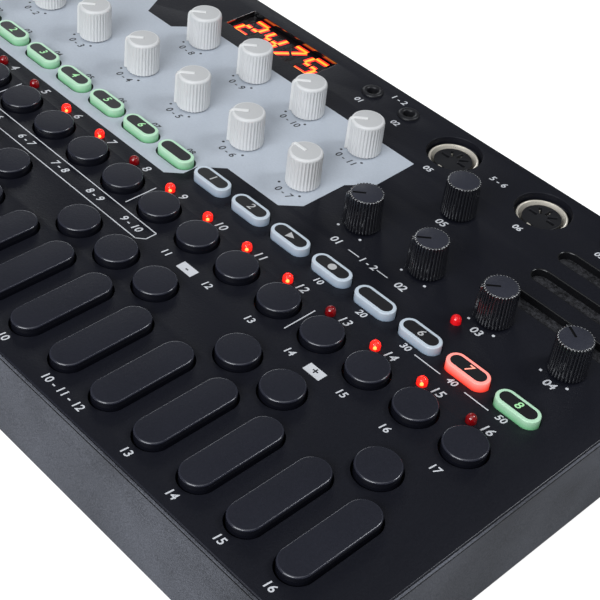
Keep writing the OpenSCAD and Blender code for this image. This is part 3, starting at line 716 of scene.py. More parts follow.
class SYNTH_OT_panel(bpy.types.Operator):
    """Makes the panel plate with its lip and all its openings, with softened edges"""
    bl_idname = "synth.panel"
    bl_label = "Panel plate"

    def execute(self, context):
        w, d = (corner("top_panel", 1) - corner("top_panel", 0)).xy
        x, y = middle("top_panel").xy
        edge = sizes().panel_edge / MM
        bottom, lip = PANEL_Z - PLATE * MM, PANEL_Z - LIP_HIGH * MM
        bag, upper, lower = Bag(), [], []

        def rim(grow):
            return rectangle_outline(x, y, w + 2 * grow, d + 2 * grow, LIP_CORNER + grow)
        curve = rounded_edge(0.0, PANEL_Z, 2 * edge, 5)
        profile = [(-LIP_OUT, bottom), (-LIP_OUT, lip), (0.0, lip), curve[0]]
        # The lip and the panel's side take the near-black painted shade; the rounded rim edge takes
        # the lighter key colour as a painted highlight.
        for rows, slot in ((profile, LIP_SHADE), (curve, EDGE)):
            bag.rings([level(rim(g), z) for g, z in rows], slot, False, False)
        for outline, soft, slot in self.openings():
            curve = [(0.0, bottom)] + [(-g, z) for g, z in rounded_edge(0.0, PANEL_Z, soft, 5)]
            bag.strip([level(outline(g), z) for g, z in curve], slot)
            upper.append(outline(soft))
            lower.append(outline(0.0))
        up, down = (Matrix.Translation((0, 0, z)) for z in (PANEL_Z, bottom))
        bag.mesh(flat_mesh([rim(-2 * edge)] + upper), up, MATT, 1)
        bag.mesh(flat_mesh([rim(-LIP_OUT)] + lower), down, MATT, -1)
        c = colours()
        blacks = [
            grained("panel_matt_black", c.panel, 0.46, 1700.0, 14.0, 0.35, 0.3, specular=0.24),
            grained("opening_gloss_black", (0.006, 0.006, 0.007), 0.16, 2600.0, 40.0, 0.2, 0.03),
            # Painted highlight: the lighter key colour on the rim's rounded edge.
            grained("panel_edge_painted_highlight", c.key, 0.24, 2400.0, 300.0, 0.2, 0.02),
            grained("display_frame_black", (0.004, 0.004, 0.005), 0.1, 2600.0, 40.0, 0.2, 0.02,
                    specular=1.0, ior=1.8),
            # Painted shade: near black and dull on the lip and the panel's side.
            grained("panel_lip_painted_shade", (0.0015, 0.0015, 0.002), 0.8, 2600.0, 40.0, 0.2, 0.1,
                    specular=0.1),
        ]
        plate = bag.build("panel_plate", blacks, 25.0, True)
        seat(plate, "case", "panel_plastic", "top_panel")
        return {"FINISHED"}

    def openings(self):
        """Outline for a given enlargement, edge rounding and slot of every opening."""
        edge, slot_edge = sizes().panel_edge / MM, sizes().slot_edge / MM

        def disc(x, y, r, n):
            return lambda grow: circle_outline(x, y, r + grow, n)

        def bar(x, y, half, r, along, n):
            return lambda grow: bar_outline(x, y, half, r + grow, along, n)
        for i in range(1, 17):
            yield bar(column(i), WHITE_Y, WHITE_HALF, WHITE_R + KEY_GAP, "Y", 28), edge, MATT
            yield disc(column(i), STEP_Y, STEP_R + KEY_GAP, 64), edge, MATT
            yield bar(column(i), SOFT_Y, SOFT_HALF, SOFT_R + SOFT_GAP, "X", 24), edge, MATT
        for row in BLACK_AFTER.values():
            for i in row:
                yield disc(column(i + 0.5), BLACK_Y, BLACK_R + KEY_GAP, 64), edge, MATT
        for x, y in lamp_places():
            yield disc(x, y, sizes().lamp_radius / MM + LAMP_FIT, 32), 0.05, MATT
        for name, x, y, angle, kind in knob_places():
            yield disc(x, y, SHAFT_R + SHAFT_ROOM, 32), edge, MATT
        for x, y in jack_places():
            yield disc(x, y, JACK_HOLE, 32), 0.1, MATT
        for x, y in socket_places():
            yield disc(x, y, SOCKET_HOLE, 80), 0.3, MATT
        x, y = middle("display_window").xy
        yield lambda grow: rectangle_outline(x, y, DISPLAY_SIZE[0] + 2 * grow,
                                             DISPLAY_SIZE[1] + 2 * grow, 0.4 + grow, 5), edge, FRAME
        for k in (-1, 0, 1):
            yield bar(middle("speaker").x, middle("speaker").y + k * SLOT_PITCH, SLOT_HALF, SLOT_R,
                      "X", 28), slot_edge, GLOSS


class SYNTH_OT_prints(bpy.types.Operator):
    """Prints the pale field, the figures, dots and lines on the panel"""
    bl_idname = "synth.prints"
    bl_label = "Prints"

    def execute(self, context):
        c = colours()
        z = PANEL_Z + PRINT_LIFT
        pale = grained("field_pale_grey", c.field, 0.5, 1700.0, 20.0, 0.16, 0.2)
        ink = grained("ink_white", c.ink, 0.5, 3000.0, 60.0, 0.12, 0.1)
        dark = grained("ink_black", (0.02, 0.021, 0.026), 0.5, 3000.0, 60.0, 0.2, 0.1)
        for name, draw, height, inks in (("print_field", self.field, z, [pale]),
                                         ("print_white", self.white, z, [ink, dark]),
                                         ("print_black", self.black, z + PRINT_LIFT, [dark])):
            bag = Bag()
            draw(bag, height)
            seat(bag.build(name, inks), "case", "panel_plastic")
        for label, material, kinds, lift in (("white", ink, "dark", z),
                                             ("black", dark, "light", z + PRINT_LIFT)):
            points = [((x + s * 4.5) * MM, (y - 5.5) * MM, lift)
                      for name, x, y, angle, kind in knob_places() if kind == kinds and angle
                      for s in (-1, 1)]
            dots = grow("print_dots_" + label, dot_tree(),
                        {"Radius": 0.45 * MM, "Material": material}, points)
            seat(dots, "case", "panel_plastic")
        return {"FINISHED"}

    def field(self, bag, z):
        """Pale field around the light knobs, with holes for the soft keys and the shafts."""
        shape = [FIELD_EDGE[::-1]]
        for i in range(1, 9):
            hole = SOFT_R + SOFT_GAP + 0.3
            shape.append(bar_outline(column(i), SOFT_Y, SOFT_HALF, hole, "X", 16))
        for name, x, y, angle, kind in knob_places():
            if kind == "light":
                shape.append(circle_outline(x, y, SHAFT_R + 0.9, 28))
        bag.mesh(flat_mesh(shape), Matrix.Translation((0, 0, z)), 0, 1)

    def white(self, bag, z):
        """White figures and lines on the panel, and two white tags with a dark sign."""
        width = sizes().print_width / MM
        for i in range(1, 17):
            figures(bag, str(i), column(i) - 0.6, STEP_ROW, z, 4.0, 0, 0.18, 0.05)
        for i in (4, 8, 12):
            stroke(bag, (column(i + 0.5), -23.4), (column(i + 0.5), -11.9), width, z)
        for a, b in zip(STRIP_EDGE, STRIP_EDGE[1:] + STRIP_EDGE[:1]):
            stroke(bag, a, b, width, z)
        for i in range(1, 10):
            figures(bag, "%d - %d" % (i, i + 1), column(i) + 0.3, STRIP_ROW, z, 3.5, 0, 0.18, 0.06)
        for k, x in enumerate((24.8, 42.2, 59.7, 75.5, 95.0, 110.4, 127.6), 11):
            figures(bag, str(k), x, -28.5, z, 3.3, 0, 0.12, 0.05)
        for x, sign in ((34.0, "-"), (85.2, "+")):
            bag.face(level(rectangle_outline(x, STRIP_ROW, 6.0, 3.3), z))
            figures(bag, sign, x, -28.3, z + PRINT_LIFT, 3.6, 1, 0, 0.08)
        for i in (*range(1, 11), *range(13, 17)):
            figures(bag, "%02d" % i, column(i), NOTE_ROW, z, 3.4, 0, 0.1, 0.05)
        figures(bag, "10 - 11 - 12", column(11.5), NOTE_ROW, z, 3.4, 0, 0.1, 0.05)
        for a, b, y in ((97.0, 106.2, -2.9), (114.7, 123.0, -2.9), (55.2, 59.4, 13.9),
                        (66.6, 70.8, 13.9)):
            stroke(bag, (a, y), (b, y), width, z)
        for x, y, words in ((63.0, 13.9, "1 - 2"), (60.1, 74.7, "5 - 6"), (10.2, 82.4, "1 - 2")):
            figures(bag, words, x, y, z, 3.3, 0, 0.12, 0.06)
        for x, words in ((93.4, "30"), (110.1, "40"), (127.0, "50"), (column(12), "10"),
                         (column(13), "20")):
            figures(bag, words, x, TAG_ROW, z, 3.1, 0, 0.15, 0.06)
        for k, (name, x, y, angle, kind) in enumerate(knob_places()):
            if kind == "dark":
                drop = 11.2 if "effect" in name else 8.0
                figures(bag, "%02d" % (k - 10), x + 0.4, y - drop, z, 3.7, 0, 0.12, 0.07)
        for k, (x, y) in enumerate(jack_places()):
            figures(bag, "%02d" % (k + 1), x + 0.5, y - 7.1, z, 3.1, 0, 0.12, 0.07)
        for k, (x, y) in enumerate(socket_places()):
            figures(bag, "%02d" % (k + 5), x + 0.5, y - 13.2, z, 3.1, 0, 0.12, 0.07)

    def black(self, bag, z):
        """Dark figures on the pale field."""
        for k, (name, x, y, angle, kind) in enumerate(knob_places()):
            if kind == "light":
                figures(bag, "0 - %d" % (k + 1), x, y - 8.0, z, 3.4, 0, 0.12, 0.06)
        for i in range(1, 9):
            figures(bag, "%02d" % i, column(i) + 0.4, 8.1, z, 2.9, 0, 0.12, 0.06)


def add_key(bag, x, y, half, r, along):
    """Adds a key with sides darkened as painted shade, a shiny rounded edge lightened as painted
    highlight and a matt top to a bag.
    """
    profile = [(r, PANEL_Z - PLATE * MM)] + rounded_edge(r, KEY_Z, sizes().key_edge / MM, 6)
    if half:
        rings = [bar_ring(x, y, half, q, z, along, 28) for q, z in profile]
    else:
        rings = [round_ring(x, y, q, z, 72) for q, z in profile]
    bag.rings(rings[:2], 0, high=False)
    bag.rings(rings[1:], 2, low=False, high_slot=1)


def key_finishes(name):
    """Glossy side darkened as painted shade, matt top and shiny edge lightened as painted
    highlight, for the note or step keys.
    """
    # Painted shade: the side is half the key colour; painted highlight: the edge is 1.6 times the
    # key colour.
    side = [0.5 * v for v in colours().key]
    edge_highlight_tone = [1.6 * v for v in colours().key]
    return [grained(name + "_side", side, 0.2, 2400.0, 50.0, 0.2, 0.05),
            grained(name + "_top", colours().key, 0.47, 1700.0, 50.0, 0.35, 0.3, specular=0.27),
            grained(name + "_edge", edge_highlight_tone, 0.2, 2400.0, 300.0, 0.2, 0.02, specular=1.0)]


class SYNTH_OT_note_keys(bpy.types.Operator):
    """Makes the long and the round note keys"""
    bl_idname = "synth.note_keys"
    bl_label = "Note keys"

    def execute(self, context):
        rubber = key_finishes("note_key")
        for i in range(1, 17):
            name = "white_key_%02d" % i
            bag = Bag()
            add_key(bag, column(i), WHITE_Y, WHITE_HALF, WHITE_R, "Y")
            seat(bag.build("note_" + name, rubber, weld=True), name, "note_key_rubber", name)
        for group, row in BLACK_AFTER.items():
            bag = Bag()
            for i in row:
                add_key(bag, column(i + 0.5), BLACK_Y, 0, BLACK_R, "X")
            name = "black_keys_" + group
            seat(bag.build("note_" + name, rubber, weld=True), name, "note_key_rubber", name)
        return {"FINISHED"}


class SYNTH_OT_step_keys(bpy.types.Operator):
    """Makes the round step keys"""
    bl_idname = "synth.step_keys"
    bl_label = "Step keys"

    def execute(self, context):
        rubber = key_finishes("step_key")
        for g, group in enumerate("abcd"):
            bag = Bag()
            for i in range(4 * g + 1, 4 * g + 5):
                add_key(bag, column(i), STEP_Y, 0, STEP_R, "X")
            name = "step_keys_" + group
            seat(bag.build("round_" + name, rubber, weld=True), name, "step_key_rubber", name)
        return {"FINISHED"}


class SYNTH_OT_soft_keys(bpy.types.Operator):
    """Makes the milky soft keys with their dark windows and signs"""
    bl_idname = "synth.soft_keys"
    bl_label = "Soft keys"

    def execute(self, context):
        low, high = PANEL_Z, KEY_Z
        milks = [
            glowing("silicone_green_lit", (0.2, 0.52, 0.27), (0.48, 0.74, 0.53), low, high, 0.1),
            # Painted light: the unlit keys have a faint emission.
            glowing("silicone_unlit", (0.34, 0.43, 0.54), (0.56, 0.63, 0.7), low, high, 0.02),
            glowing("silicone_red_lit", (1.0, 0.08, 0.05), (0.95, 0.36, 0.32), low, high, 0.6,
                    glow=((1.0, 0.05, 0.03), (0.9, 0.14, 0.1))),
        ]
        window = grained("soft_key_window", (0.01, 0.01, 0.012), 0.34, 2600.0, 60.0, 0.2, 0.06)
        signs = [glowing("sign_green", (0.25, 0.6, 0.25), (0.35, 0.7, 0.35), low, high, 0.3),
                 grained("sign_white", (0.5, 0.5, 0.5), 0.5, 3000.0, 60.0, 0.1, 0.05),
                 glowing("sign_red", (0.95, 0.3, 0.2), (1.0, 0.35, 0.25), low, high, 0.6)]
        edge = sizes().soft_edge / MM
        for group, row in SOFT_COLUMNS.items():
            bag = Bag()
            for i in row:
                x = column(i)
                tone = 2 if i == RED_SOFT else 1 if i in UNLIT_SOFT else 0
                profile = [(SOFT_R, PANEL_Z - PLATE * MM)] + rounded_edge(SOFT_R, KEY_Z, edge)
                bag.rings([bar_ring(x, SOFT_Y, SOFT_HALF, q, z, "X", 24) for q, z in profile], tone)
                top = KEY_Z + FILM_LIFT
                bag.face(bar_ring(x, SOFT_Y, SOFT_HALF, 2.0, top, "X", 24), 3)
                top += FILM_LIFT
                if i == PLAY_SOFT:
                    bag.face([((x + dx) * MM, (SOFT_Y + dy) * MM, top)
                              for dx, dy in ((-1.1, -1.35), (1.5, 0.0), (-1.1, 1.35))], 5)
                elif i == RECORD_SOFT:
                    bag.face(round_ring(x, SOFT_Y, 1.3, top, 20), 5)
                elif i not in BLANK_SOFT:
                    figures(bag, str(i - 1 if i < 9 else i - 8), x, SOFT_Y, top,
                            3.7, 4 + tone, 0.15, 0.05)
            name = "soft_keys_" + group
            piece = bag.build("milky_" + name, milks + [window] + signs)
            seat(piece, name, "soft_key_silicone", name)
        return {"FINISHED"}


class SYNTH_OT_knobs(bpy.types.Operator):
    """Makes the ribbed knobs, light and dark, with their pointers"""
    bl_idname = "synth.knobs"
    bl_label = "Knobs"

    def execute(self, context):
        c = colours()
        steel = grained("pot_shaft_steel", (0.5, 0.5, 0.5), 0.35, 2000.0, 90.0, 0.2, 0.1, 1.0)
        # Painted shade: the light knob top is 0.78 of the knob colour; painted sheen: the dark knob
        # top is 3.9 times the knob colour.
        pale, deep = [0.78 * v for v in c.light_knob], [3.9 * v for v in c.dark_knob]
        light = [grained("knob_warm_white", c.light_knob, 0.42, 1800.0, 40.0, 0.06, 0.08),
                 grained("knob_top_white", pale, 0.5, 1800.0, 40.0, 0.06, 0.1), steel,
                 grained("pointer_white", (0.8, 0.8, 0.79), 0.36, 1800.0, 40.0, 0.05, 0.05)]
        dark = [grained("knob_gloss_black", c.dark_knob, 0.14, 1800.0, 40.0, 0.2, 0.03,
                        specular=1.0, ior=1.9),
                grained("knob_top_black", deep, 0.42, 1700.0, 40.0, 0.3, 0.25), steel,
                # Painted shade: the cut line is darker than the knob it is cut into.
                grained("pointer_groove", (0.003, 0.003, 0.004), 0.5, 1800.0, 40.0, 0.2, 0.05)]
        for name, x, y, angle, kind in knob_places():
            bag = Bag()
            bag.rings([round_ring(x, y, SHAFT_R, z, 24)
                       for z in (PANEL_Z - SHAFT_DEEP * MM, KNOB_BASE + MM)], 2)
            materials, cap = (light, self.light_cap) if kind == "light" else (dark, self.dark_cap)
            cap(bag, x, y, angle)
            ring, rib, rise, lean = RIBS[kind]
            piece = bag.build("cap_" + name, materials, 40.0, True)
            seat(piece, name, kind + "_knob_plastic", name)
            ribs = grow("ribs_" + name, ridge_tree(), {
                "Count": sizes().rib_count, "Ring Radius": ring * MM, "Rib Radius": rib * MM,
                "Rib Length": rise * MM, "Lean": lean,
                "Centre": (x * MM, y * MM, KNOB_BASE + (rise / 2 + 0.1) * MM),
                "Material": materials[0]}, smooth=50.0)
            seat(ribs, name, kind + "_knob_plastic")
        return {"FINISHED"}

    def light_cap(self, bag, x, y, angle):
        """Straight cap with a rounded crown and a raised pointer from its middle to its foot."""
        wall, crown = 5.23, 0.85
        profile = [(5.1, KNOB_BASE), (5.27, KNOB_BASE + 0.15 * MM), (wall, KNOB_BASE + 0.4 * MM),
                   (wall, KNOB_Z - (crown + 0.4) * MM)]
        profile += rounded_edge(5.32, KNOB_Z, crown, 7)
        bag.rings([round_ring(x, y, q, z, 96) for q, z in profile], 0, high_slot=1)
        base, top = KNOB_BASE / MM, KNOB_Z / MM
        self.fin(bag, x, y, angle, 3, [
            (0.0, top - 0.8), (4.4, top - 0.8), (4.4, base), (6.2, base), (6.0, top - 1.2),
            (5.82, top - 0.6), (5.5, top - 0.12), (5.05, top + 0.18),
            (4.6, top + 0.28), (0.0, top + 0.28)])

    def dark_cap(self, bag, x, y, angle):
        """Tapered cap with a flat disc; a marked one has a cut line and a fin."""
        neck, soft = 4.72, 0.16
        profile = [(5.0, KNOB_BASE), (5.15, KNOB_BASE + 0.2 * MM), (neck, KNOB_Z - 0.5 * MM)]
        profile += rounded_edge(neck, KNOB_Z, soft, 3)
        bag.rings([round_ring(x, y, q, z, 96) for q, z in profile], 0, True, False)
        rim = circle_outline(x, y, neck - soft, 96)
        place = Matrix.Translation((0, 0, KNOB_Z))
        if angle is None:
            bag.mesh(flat_mesh([rim]), place, 1, 1)
            return
        line = turned(rectangle_outline(2.3, 0.0, 4.1, 0.8, 0.2, 3), x, y, angle)
        bag.mesh(flat_mesh([rim, line]), place, 1, 1)
        floor = KNOB_Z - 0.45 * MM
        bag.strip([level(line, z) for z in (floor, KNOB_Z)], 3)
        bag.face(level(line, floor), 3)
        base, top = KNOB_BASE / MM, KNOB_Z / MM
        self.fin(bag, x, y, angle, 0, [
            (4.6, base), (6.25, base), (5.9, top - 1.0), (5.75, top - 0.5), (5.4, top - 0.2),
            (4.6, top - 0.2)])

    def fin(self, bag, x, y, angle, slot, outline):
        """Flat pointer standing in the plane of the knob axis; outline in radius and height."""
        a = math.radians(angle)
        out, up = Vector((math.cos(a), math.sin(a), 0.0)), Vector((0.0, 0.0, 1.0))
        place = Matrix((out, up, out.cross(up))).transposed().to_4x4()
        place.translation = (x * MM, y * MM, 0.0)
        bag.mesh(flat_mesh([outline], 0.38, 0.12), place, slot)


class SYNTH_OT_lamps(bpy.types.Operator):
    """Makes the lamps: clear lit ones with a bright core, plain unlit ones and the tempo lamp"""
    bl_idname = "synth.lamps"
    bl_label = "Lamps"

    def execute(self, context):
        r = sizes().lamp_radius
        z = PANEL_Z + LAMP_RISE * MM
        lit = clear_resin("lamp_lit_red", (1.0, 0.16, 0.11), (1.0, 0.014, 0.008), 0.5, 0.85)
        # Painted light: the unlit lamps have a faint red emission.
        unlit = clear_resin("lamp_unlit_red", (0.2, 0.002, 0.004), (1.0, 0.0, 0.004), 0.03, 0.0,
                            1.0)
        dull = clear_resin("lamp_tempo_red", (0.6, 0.006, 0.01), (1.0, 0.006, 0.012), 0.3, 0.0,
                           1.0)
        core = glowing("lamp_core", (1.0, 0.4, 0.08), (1.0, 0.6, 0.2), z - MM, z, 5.0)
        places = {"lamps_lit": [], "lamps_unlit": [], "lamp_tempo": []}
        for i, (x, y) in enumerate(lamp_places(), 1):
            name = "lamp_tempo" if i > 16 else "lamps_lit" if i in LIT_STEPS else "lamps_unlit"
            places[name].append((x * MM, y * MM, z))
        for name, material in (("lamps_lit", lit), ("lamps_unlit", unlit), ("lamp_tempo", dull)):
            piece = grow(name, lamp_tree(), {"Radius": r, "Neck": 3.4 * MM, "Material": material},
                         places[name])
            seat(piece, "case", "lamp_resin", *(["status_leds"] if material is lit else []))
        points = [(px, py, pz - 0.45 * r) for px, py, pz in places["lamps_lit"]]
        cores = grow("lamp_cores", lamp_tree(),
                     {"Radius": 0.2 * r, "Neck": 0.2 * MM, "Material": core}, points)
        seat(cores, "case", "lamp_resin")
        return {"FINISHED"}


class SYNTH_OT_display(bpy.types.Operator):
    """Makes the display pane and its lit figures"""
    bl_idname = "synth.display"
    bl_label = "Display"

    def execute(self, context):
        low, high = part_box("display_window")
        x, y = middle("display_window").xy
        pane = Bag()
        w, d = DISPLAY_SIZE[0] - PANE_GAP, DISPLAY_SIZE[1] - PANE_GAP
        for z0, z1, wider in ((low.z, low.z + 1.2 * MM, 1.8), (low.z + 1.2 * MM, high.z, 0.0)):
            rings = []
            for z, inset in ((z0, 0.0), (z1 - 0.1 * MM, 0.0), (z1, 0.1)):
                more = 2 * (wider - inset)
                rings.append(level(rectangle_outline(x, y, w + more, d + more, 0.5, 4), z))
            pane.rings(rings)
        smoke = grained("display_smoke", (0.006, 0.004, 0.005), 0.2, 1500.0, 30.0, 0.2, 0.03,
                        specular=0.3)
        seat(pane.build("display_pane", [smoke]), "case", "display_pane", "display_window")
        bag = Bag()
        z = high.z + 0.02 * MM
        for k, word in enumerate("2475"):
            self.character(bag, word, x + (k - 1.5) * FIGURE_PITCH, y - 0.1, z)
        lit = glowing("segment_core", (1.0, 0.25, 0.018), (1.0, 0.25, 0.018), z, z + MM, 1.8)
        # Painted light: the wide halo strip paints the glow spreading around each lit bar.
        halo = glowing("segment_halo", (1.0, 0.012, 0.012), (1.0, 0.012, 0.012), z, z + MM, 1.15)
        dim = grained("segment_unlit", (0.014, 0.005, 0.005), 0.5, 1500.0, 30.0, 0.2, 0.03,
                      specular=0.2)
        seat(bag.build("display_segments", [lit, halo, dim]), "case", "display_block")
        return {"FINISHED"}

    def character(self, bag, word, x, y, z):
        """One figure of straight bars: unlit ones, and the red halo of painted glow and bright core
        of lit ones.
        """
        w, h, lean, gap = 6.2, 10.0, 0.12, 0.45
        a, b, c, d = (-w / 2, h / 2), (w / 2, h / 2), (w / 2, 0), (-w / 2, 0)
        e, f, m = (-w / 2, -h / 2), (w / 2, -h / 2), (0, 0)
        bars = {"A": (a, b), "B": (b, c), "C": (c, f), "D": (e, f), "E": (d, e), "F": (a, d),
                "G": (d, m), "H": (m, c), "I": (a, m), "J": ((0, h / 2), m), "K": (b, m),
                "L": (e, m), "M": (m, (0, -h / 2)), "N": (m, f)}
        lit = {"2": "ABGHED", "4": "FGHBC", "7": "AKL", "5": "AFGHCD"}[word]
        for name, (p, q) in bars.items():
            p, q = Vector(p), Vector(q)
            way = (q - p).normalized()
            p, q = p + way * gap, q - way * gap
            p.x += p.y * lean
            q.x += q.y * lean
            # width in mm, slot and lift in mm
            looks = ((2.4, 1, 0.01), (1.1, 0, 0.02)) if name in lit else ((0.8, 2, 0.0),)
            for width, slot, lift in looks:
                stroke(bag, (x + p.x, y + p.y), (x + q.x, y + q.y), width, z + lift * MM, slot)


class SYNTH_OT_sockets(bpy.types.Operator):
    """Makes the round sockets and the small jacks"""
    bl_idname = "synth.sockets"
    bl_label = "Sockets"

    def execute(self, context):
        black = grained("socket_black", (0.011, 0.0112, 0.0135), 0.36, 1800.0, 60.0, 0.25, 0.1,
                        specular=0.4)
        # Painted shade: near black for the insert's sides, the floor between shield and insert and
        # the bottom of each jack bore.
        pit = grained("socket_pit_painted_shade", (0.003, 0.003, 0.003), 0.7, 1800.0, 60.0, 0.2, 0.05)
        metal = grained("shield_tin", (0.96, 0.89, 0.77), 0.3, 2600.0, 120.0, 0.1, 0.05, 0.45)
        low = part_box("midi_sockets")[0].z
        bag = Bag()
        for x, y in socket_places():
            self.shield(bag, x, y, PANEL_Z - SHIELD_DROP * MM, low)
            self.insert(bag, x, y, PANEL_Z - INSERT_DROP * MM, low)
            high = PANEL_Z - HOUSING_DROP * MM
            mesh = flat_mesh([rectangle_outline(x, y, SOCKET_BODY, SOCKET_BODY, 0.6),
                              circle_outline(x, y, HOUSING_IN, 72)], (high - low) / 2 / MM)
            bag.mesh(mesh, Matrix.Translation((0, 0, (high + low) / 2)), 1)
        seat(bag.build("round_sockets", [metal, black, pit]), "case", "round_socket_parts",
             "midi_sockets")
        bag = Bag()
        for x, y in jack_places():
            self.jack(bag, x, y)
        seat(bag.build("small_jacks", [black, pit, metal]), "case", "jack_plastic", "mini_jacks")
        return {"FINISHED"}

    def shield(self, bag, x, y, top, low):
        """Metal ring with a rolled edge and a key at the front."""
        profile = [(SHIELD_R, low), (SHIELD_R, top - 0.4 * MM), (7.98, top - 0.12 * MM), (7.7, top),
                   (7.42, top - 0.1 * MM), (SHIELD_IN, top - 0.35 * MM), (SHIELD_IN, low),
                   (SHIELD_R, low)]
        bag.rings([round_ring(x, y, q, z, 80) for q, z in profile], 0, False, False)
        rings = []
        for inset, z in ((0.0, top - 4.0 * MM), (0.0, top - 0.25 * MM), (0.2, top)):
            w, d = 1.6 - 2 * inset, 1.3 - 2 * inset
            rings.append(level(rectangle_outline(x, y - 6.75, w, d, 0.25 - inset, 4), z))
        bag.rings(rings, 0)

    def insert(self, bag, x, y, face, low):
        """Black core with five slots, a bright spring in each, and a notch for the key."""
        r, notch, deep = INSERT_R, 1.2, 0.8
        bend = math.asin(notch / r)
        turns = [-math.pi / 2 + bend + (2 * math.pi - 2 * bend) * k / 64 for k in range(65)]
        outline = [(x + r * math.cos(t), y + r * math.sin(t)) for t in turns]
        outline += [(x - notch, y - r + deep), (x + notch, y - r + deep)]
        shapes, half = [outline], 1.5
        for a in (0, 45, 90, 135, 180):
            shapes.append(turned(rectangle_outline(3.4, 0.0, 3.2, 1.0, 0.3, 3), x, y, a))
            spring = turned(rectangle_outline(4.4, 0.0, 0.3, 0.5, 0.1, 2), x, y, a)
            bag.rings([level(spring, z) for z in (face - 3.0 * MM, face - 0.8 * MM)], 0)
        place = Matrix.Translation((0, 0, face - half * MM))
        bag.mesh(flat_mesh(shapes, half - 0.12, 0.12), place, 1)
        # Painted shade: the insert's sides and a floor ring between shield and insert are near
        # black.
        bag.rings([round_ring(x, y, r, z, 64) for z in (low, face - 2 * half * MM)], 2)
        floor = face - 6.0 * MM
        bag.rings([round_ring(x, y, q, floor, 64) for q in (SHIELD_IN, r)], 2, False, False)

    def jack(self, bag, x, y):
        """Round collar, bore and a contact spring at its far side."""
        profile = [(3.0, PANEL_Z - PLATE * MM), (3.0, PANEL_Z), (3.7, PANEL_Z)]
        for k in range(13):
            t = math.pi * k / 12
            profile.append((2.75 + 0.95 * math.cos(t), PANEL_Z + (0.05 + 0.75 * math.sin(t)) * MM))
        bottom = PANEL_Z - BORE_DEEP * MM
        profile.append((BORE_R, bottom))
        bag.rings([round_ring(x, y, q, z, 48) for q, z in profile], 0, False, False)
        # Painted shade: the bore's bottom is near black.
        bag.face(round_ring(x, y, BORE_R, bottom, 48), 1)
        spring = turned(rectangle_outline(1.6, 0.0, 0.5, 0.9, 0.1, 2), x, y, 128.0)
        bag.rings([level(spring, z) for z in (PANEL_Z - 4.0 * MM, PANEL_Z - 2.0 * MM)], 2)


class SYNTH_OT_speaker(bpy.types.Operator):
    """Gives the speaker its felt cloth"""
    bl_idname = "synth.speaker"
    bl_label = "Speaker cloth"

    def execute(self, context):
        material, shader = new_material("speaker_cloth", 0.9, 0.0, 0.2)
        tree = material.node_tree
        place, felt, ramp, relief = add(tree, "ShaderNodeTexCoord", "ShaderNodeTexNoise",
                                        "ShaderNodeValToRGB", "ShaderNodeBump")
        fill(felt, {"Scale": 850.0, "Detail": 6.0, "Roughness": 0.7})
        for element, position, tone in zip(ramp.color_ramp.elements, (0.36, 0.64), (0.004, 0.055)):
            element.position = position
            element.color = (tone, tone, 1.12 * tone, 1.0)
        fill(relief, {"Strength": 0.8, "Distance": 0.4 * MM})
        wire(tree, (place, "Object", felt, "Vector"), (felt, "Fac", ramp, "Fac"),
             (ramp, "Color", shader, "Base Color"), (felt, "Fac", relief, "Height"),
             (relief, "Normal", shader, "Normal"))
        dress("speaker", material)
        return {"FINISHED"}


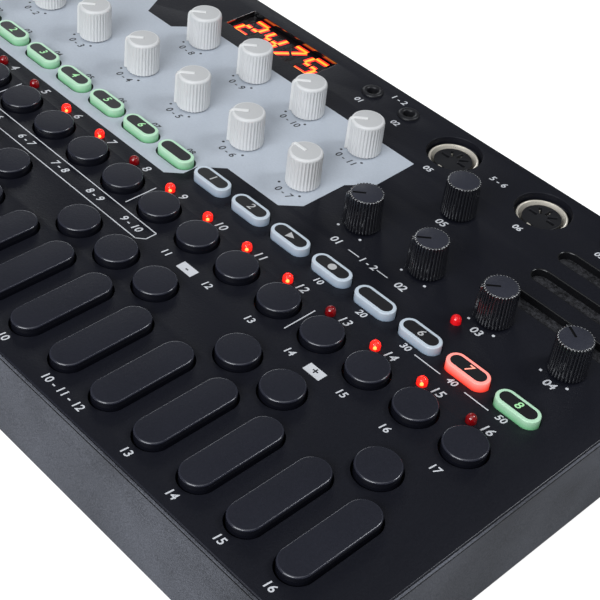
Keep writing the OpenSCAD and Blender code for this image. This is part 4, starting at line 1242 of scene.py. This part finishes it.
class SYNTH_OT_stage(bpy.types.Operator):
    """Sets the floor, the soft light and the camera"""
    bl_idname = "synth.stage"
    bl_label = "Stage"

    def execute(self, context):
        scene = context.scene
        bag = Bag()
        bag.face([(sx * FLOOR_HALF, sy * FLOOR_HALF, FLOOR_Z)
                  for sx, sy in ((-1, -1), (1, -1), (1, 1), (-1, 1))])
        pale = grained("floor_pale", (0.5, 0.5, 0.5), 0.7, 30.0, 1.5, 0.02, 0.02)
        self.backdrop(pale)
        bag.build("floor", [pale])
        world = bpy.data.worlds.new("studio")
        scene.world = world
        world.use_nodes = True
        sky = world.node_tree.nodes["Background"]
        fill(sky, {"Color": (0.93, 0.96, 1.0, 1.0), "Strength": 0.12})
        for light in LIGHTS:
            self.lamp(*light)
        self.camera(scene)
        scene.view_settings.view_transform = "Standard"
        return {"FINISHED"}

    def backdrop(self, material):
        """Lifts the floor to a white sweep for the eye alone; its bounce stays as it is."""
        tree = material.node_tree
        white, path, lift, both = add(tree, "ShaderNodeEmission", "ShaderNodeLightPath",
                                      "ShaderNodeMath", "ShaderNodeAddShader")
        lift.operation = "MULTIPLY"
        fill(lift, {1: 0.85})
        wire(tree, (path, "Is Camera Ray", lift, 0), (lift, 0, white, "Strength"),
             (shader_of(material), 0, both, 0), (white, 0, both, 1),
             (both, 0, tree.nodes["Material Output"], "Surface"))

    def lamp(self, name, place, aim, w, h, power):
        """Adds a soft rectangular light."""
        data = bpy.data.lights.new(name, "AREA")
        data.shape = "RECTANGLE"
        data.size, data.size_y, data.energy = w, h, power
        data.color = (0.94, 0.97, 1.0)
        lamp = bpy.data.objects.new(name, data)
        lamp.location = place
        lamp.rotation_euler = (Vector(aim) - Vector(place)).to_track_quat("-Z", "Y").to_euler()
        bpy.context.scene.collection.objects.link(lamp)

    def camera(self, scene):
        """Adds the camera that was solved from the photograph."""
        az, el, roll = (math.radians(v) for v in CAMERA_TURN)
        back = Vector((math.sin(az) * math.cos(el), -math.cos(az) * math.cos(el), math.sin(el)))
        right = Vector((math.cos(az), math.sin(az), 0.0))
        up = back.cross(right)
        side = right * math.cos(roll) + up * math.sin(roll)
        rise = up * math.cos(roll) - right * math.sin(roll)
        data = bpy.data.cameras.new("camera")
        data.sensor_width = 36.0
        data.lens = CAMERA_FOCUS * data.sensor_width
        data.clip_start, data.clip_end = 0.01, 50.0
        eye = bpy.data.objects.new("camera", data)
        place = Matrix((side, rise, back)).transposed().to_4x4()
        place.translation = Vector(CAMERA_PLACE) * MM + Vector((0, 0, PANEL_Z))
        eye.matrix_world = place
        scene.collection.objects.link(eye)
        scene.camera = eye


STEPS = (SYNTH_OT_case, SYNTH_OT_panel, SYNTH_OT_prints, SYNTH_OT_note_keys, SYNTH_OT_step_keys,
         SYNTH_OT_soft_keys, SYNTH_OT_knobs, SYNTH_OT_lamps, SYNTH_OT_display, SYNTH_OT_sockets,
         SYNTH_OT_speaker, SYNTH_OT_stage)


class SYNTH_PT_pieces(bpy.types.Panel):
    """Lists the steps that dress the part"""
    bl_label = "Synth"
    bl_idname = "SYNTH_PT_pieces"
    bl_space_type = "VIEW_3D"
    bl_region_type = "UI"
    bl_category = "Synth"

    def draw(self, context):
        for step in STEPS:
            self.layout.operator(step.bl_idname, text=step.bl_label)
        for group in (context.scene.synth_sizes, context.scene.synth_colours):
            for key in group.__annotations__:
                self.layout.prop(group, key)


CLASSES = (SynthSizes, SynthColours) + STEPS + (SYNTH_PT_pieces,)


def register():
    for cls in CLASSES:
        bpy.utils.register_class(cls)
    bpy.types.Scene.synth_sizes = bpy.props.PointerProperty(type=SynthSizes)
    bpy.types.Scene.synth_colours = bpy.props.PointerProperty(type=SynthColours)


def unregister():
    del bpy.types.Scene.synth_colours
    del bpy.types.Scene.synth_sizes
    for cls in reversed(CLASSES):
        bpy.utils.unregister_class(cls)


def main():
    register()
    for step in STEPS:
        group, name = step.bl_idname.split(".")
        getattr(getattr(bpy.ops, group), name)()


if __name__ == "__main__":
    main()
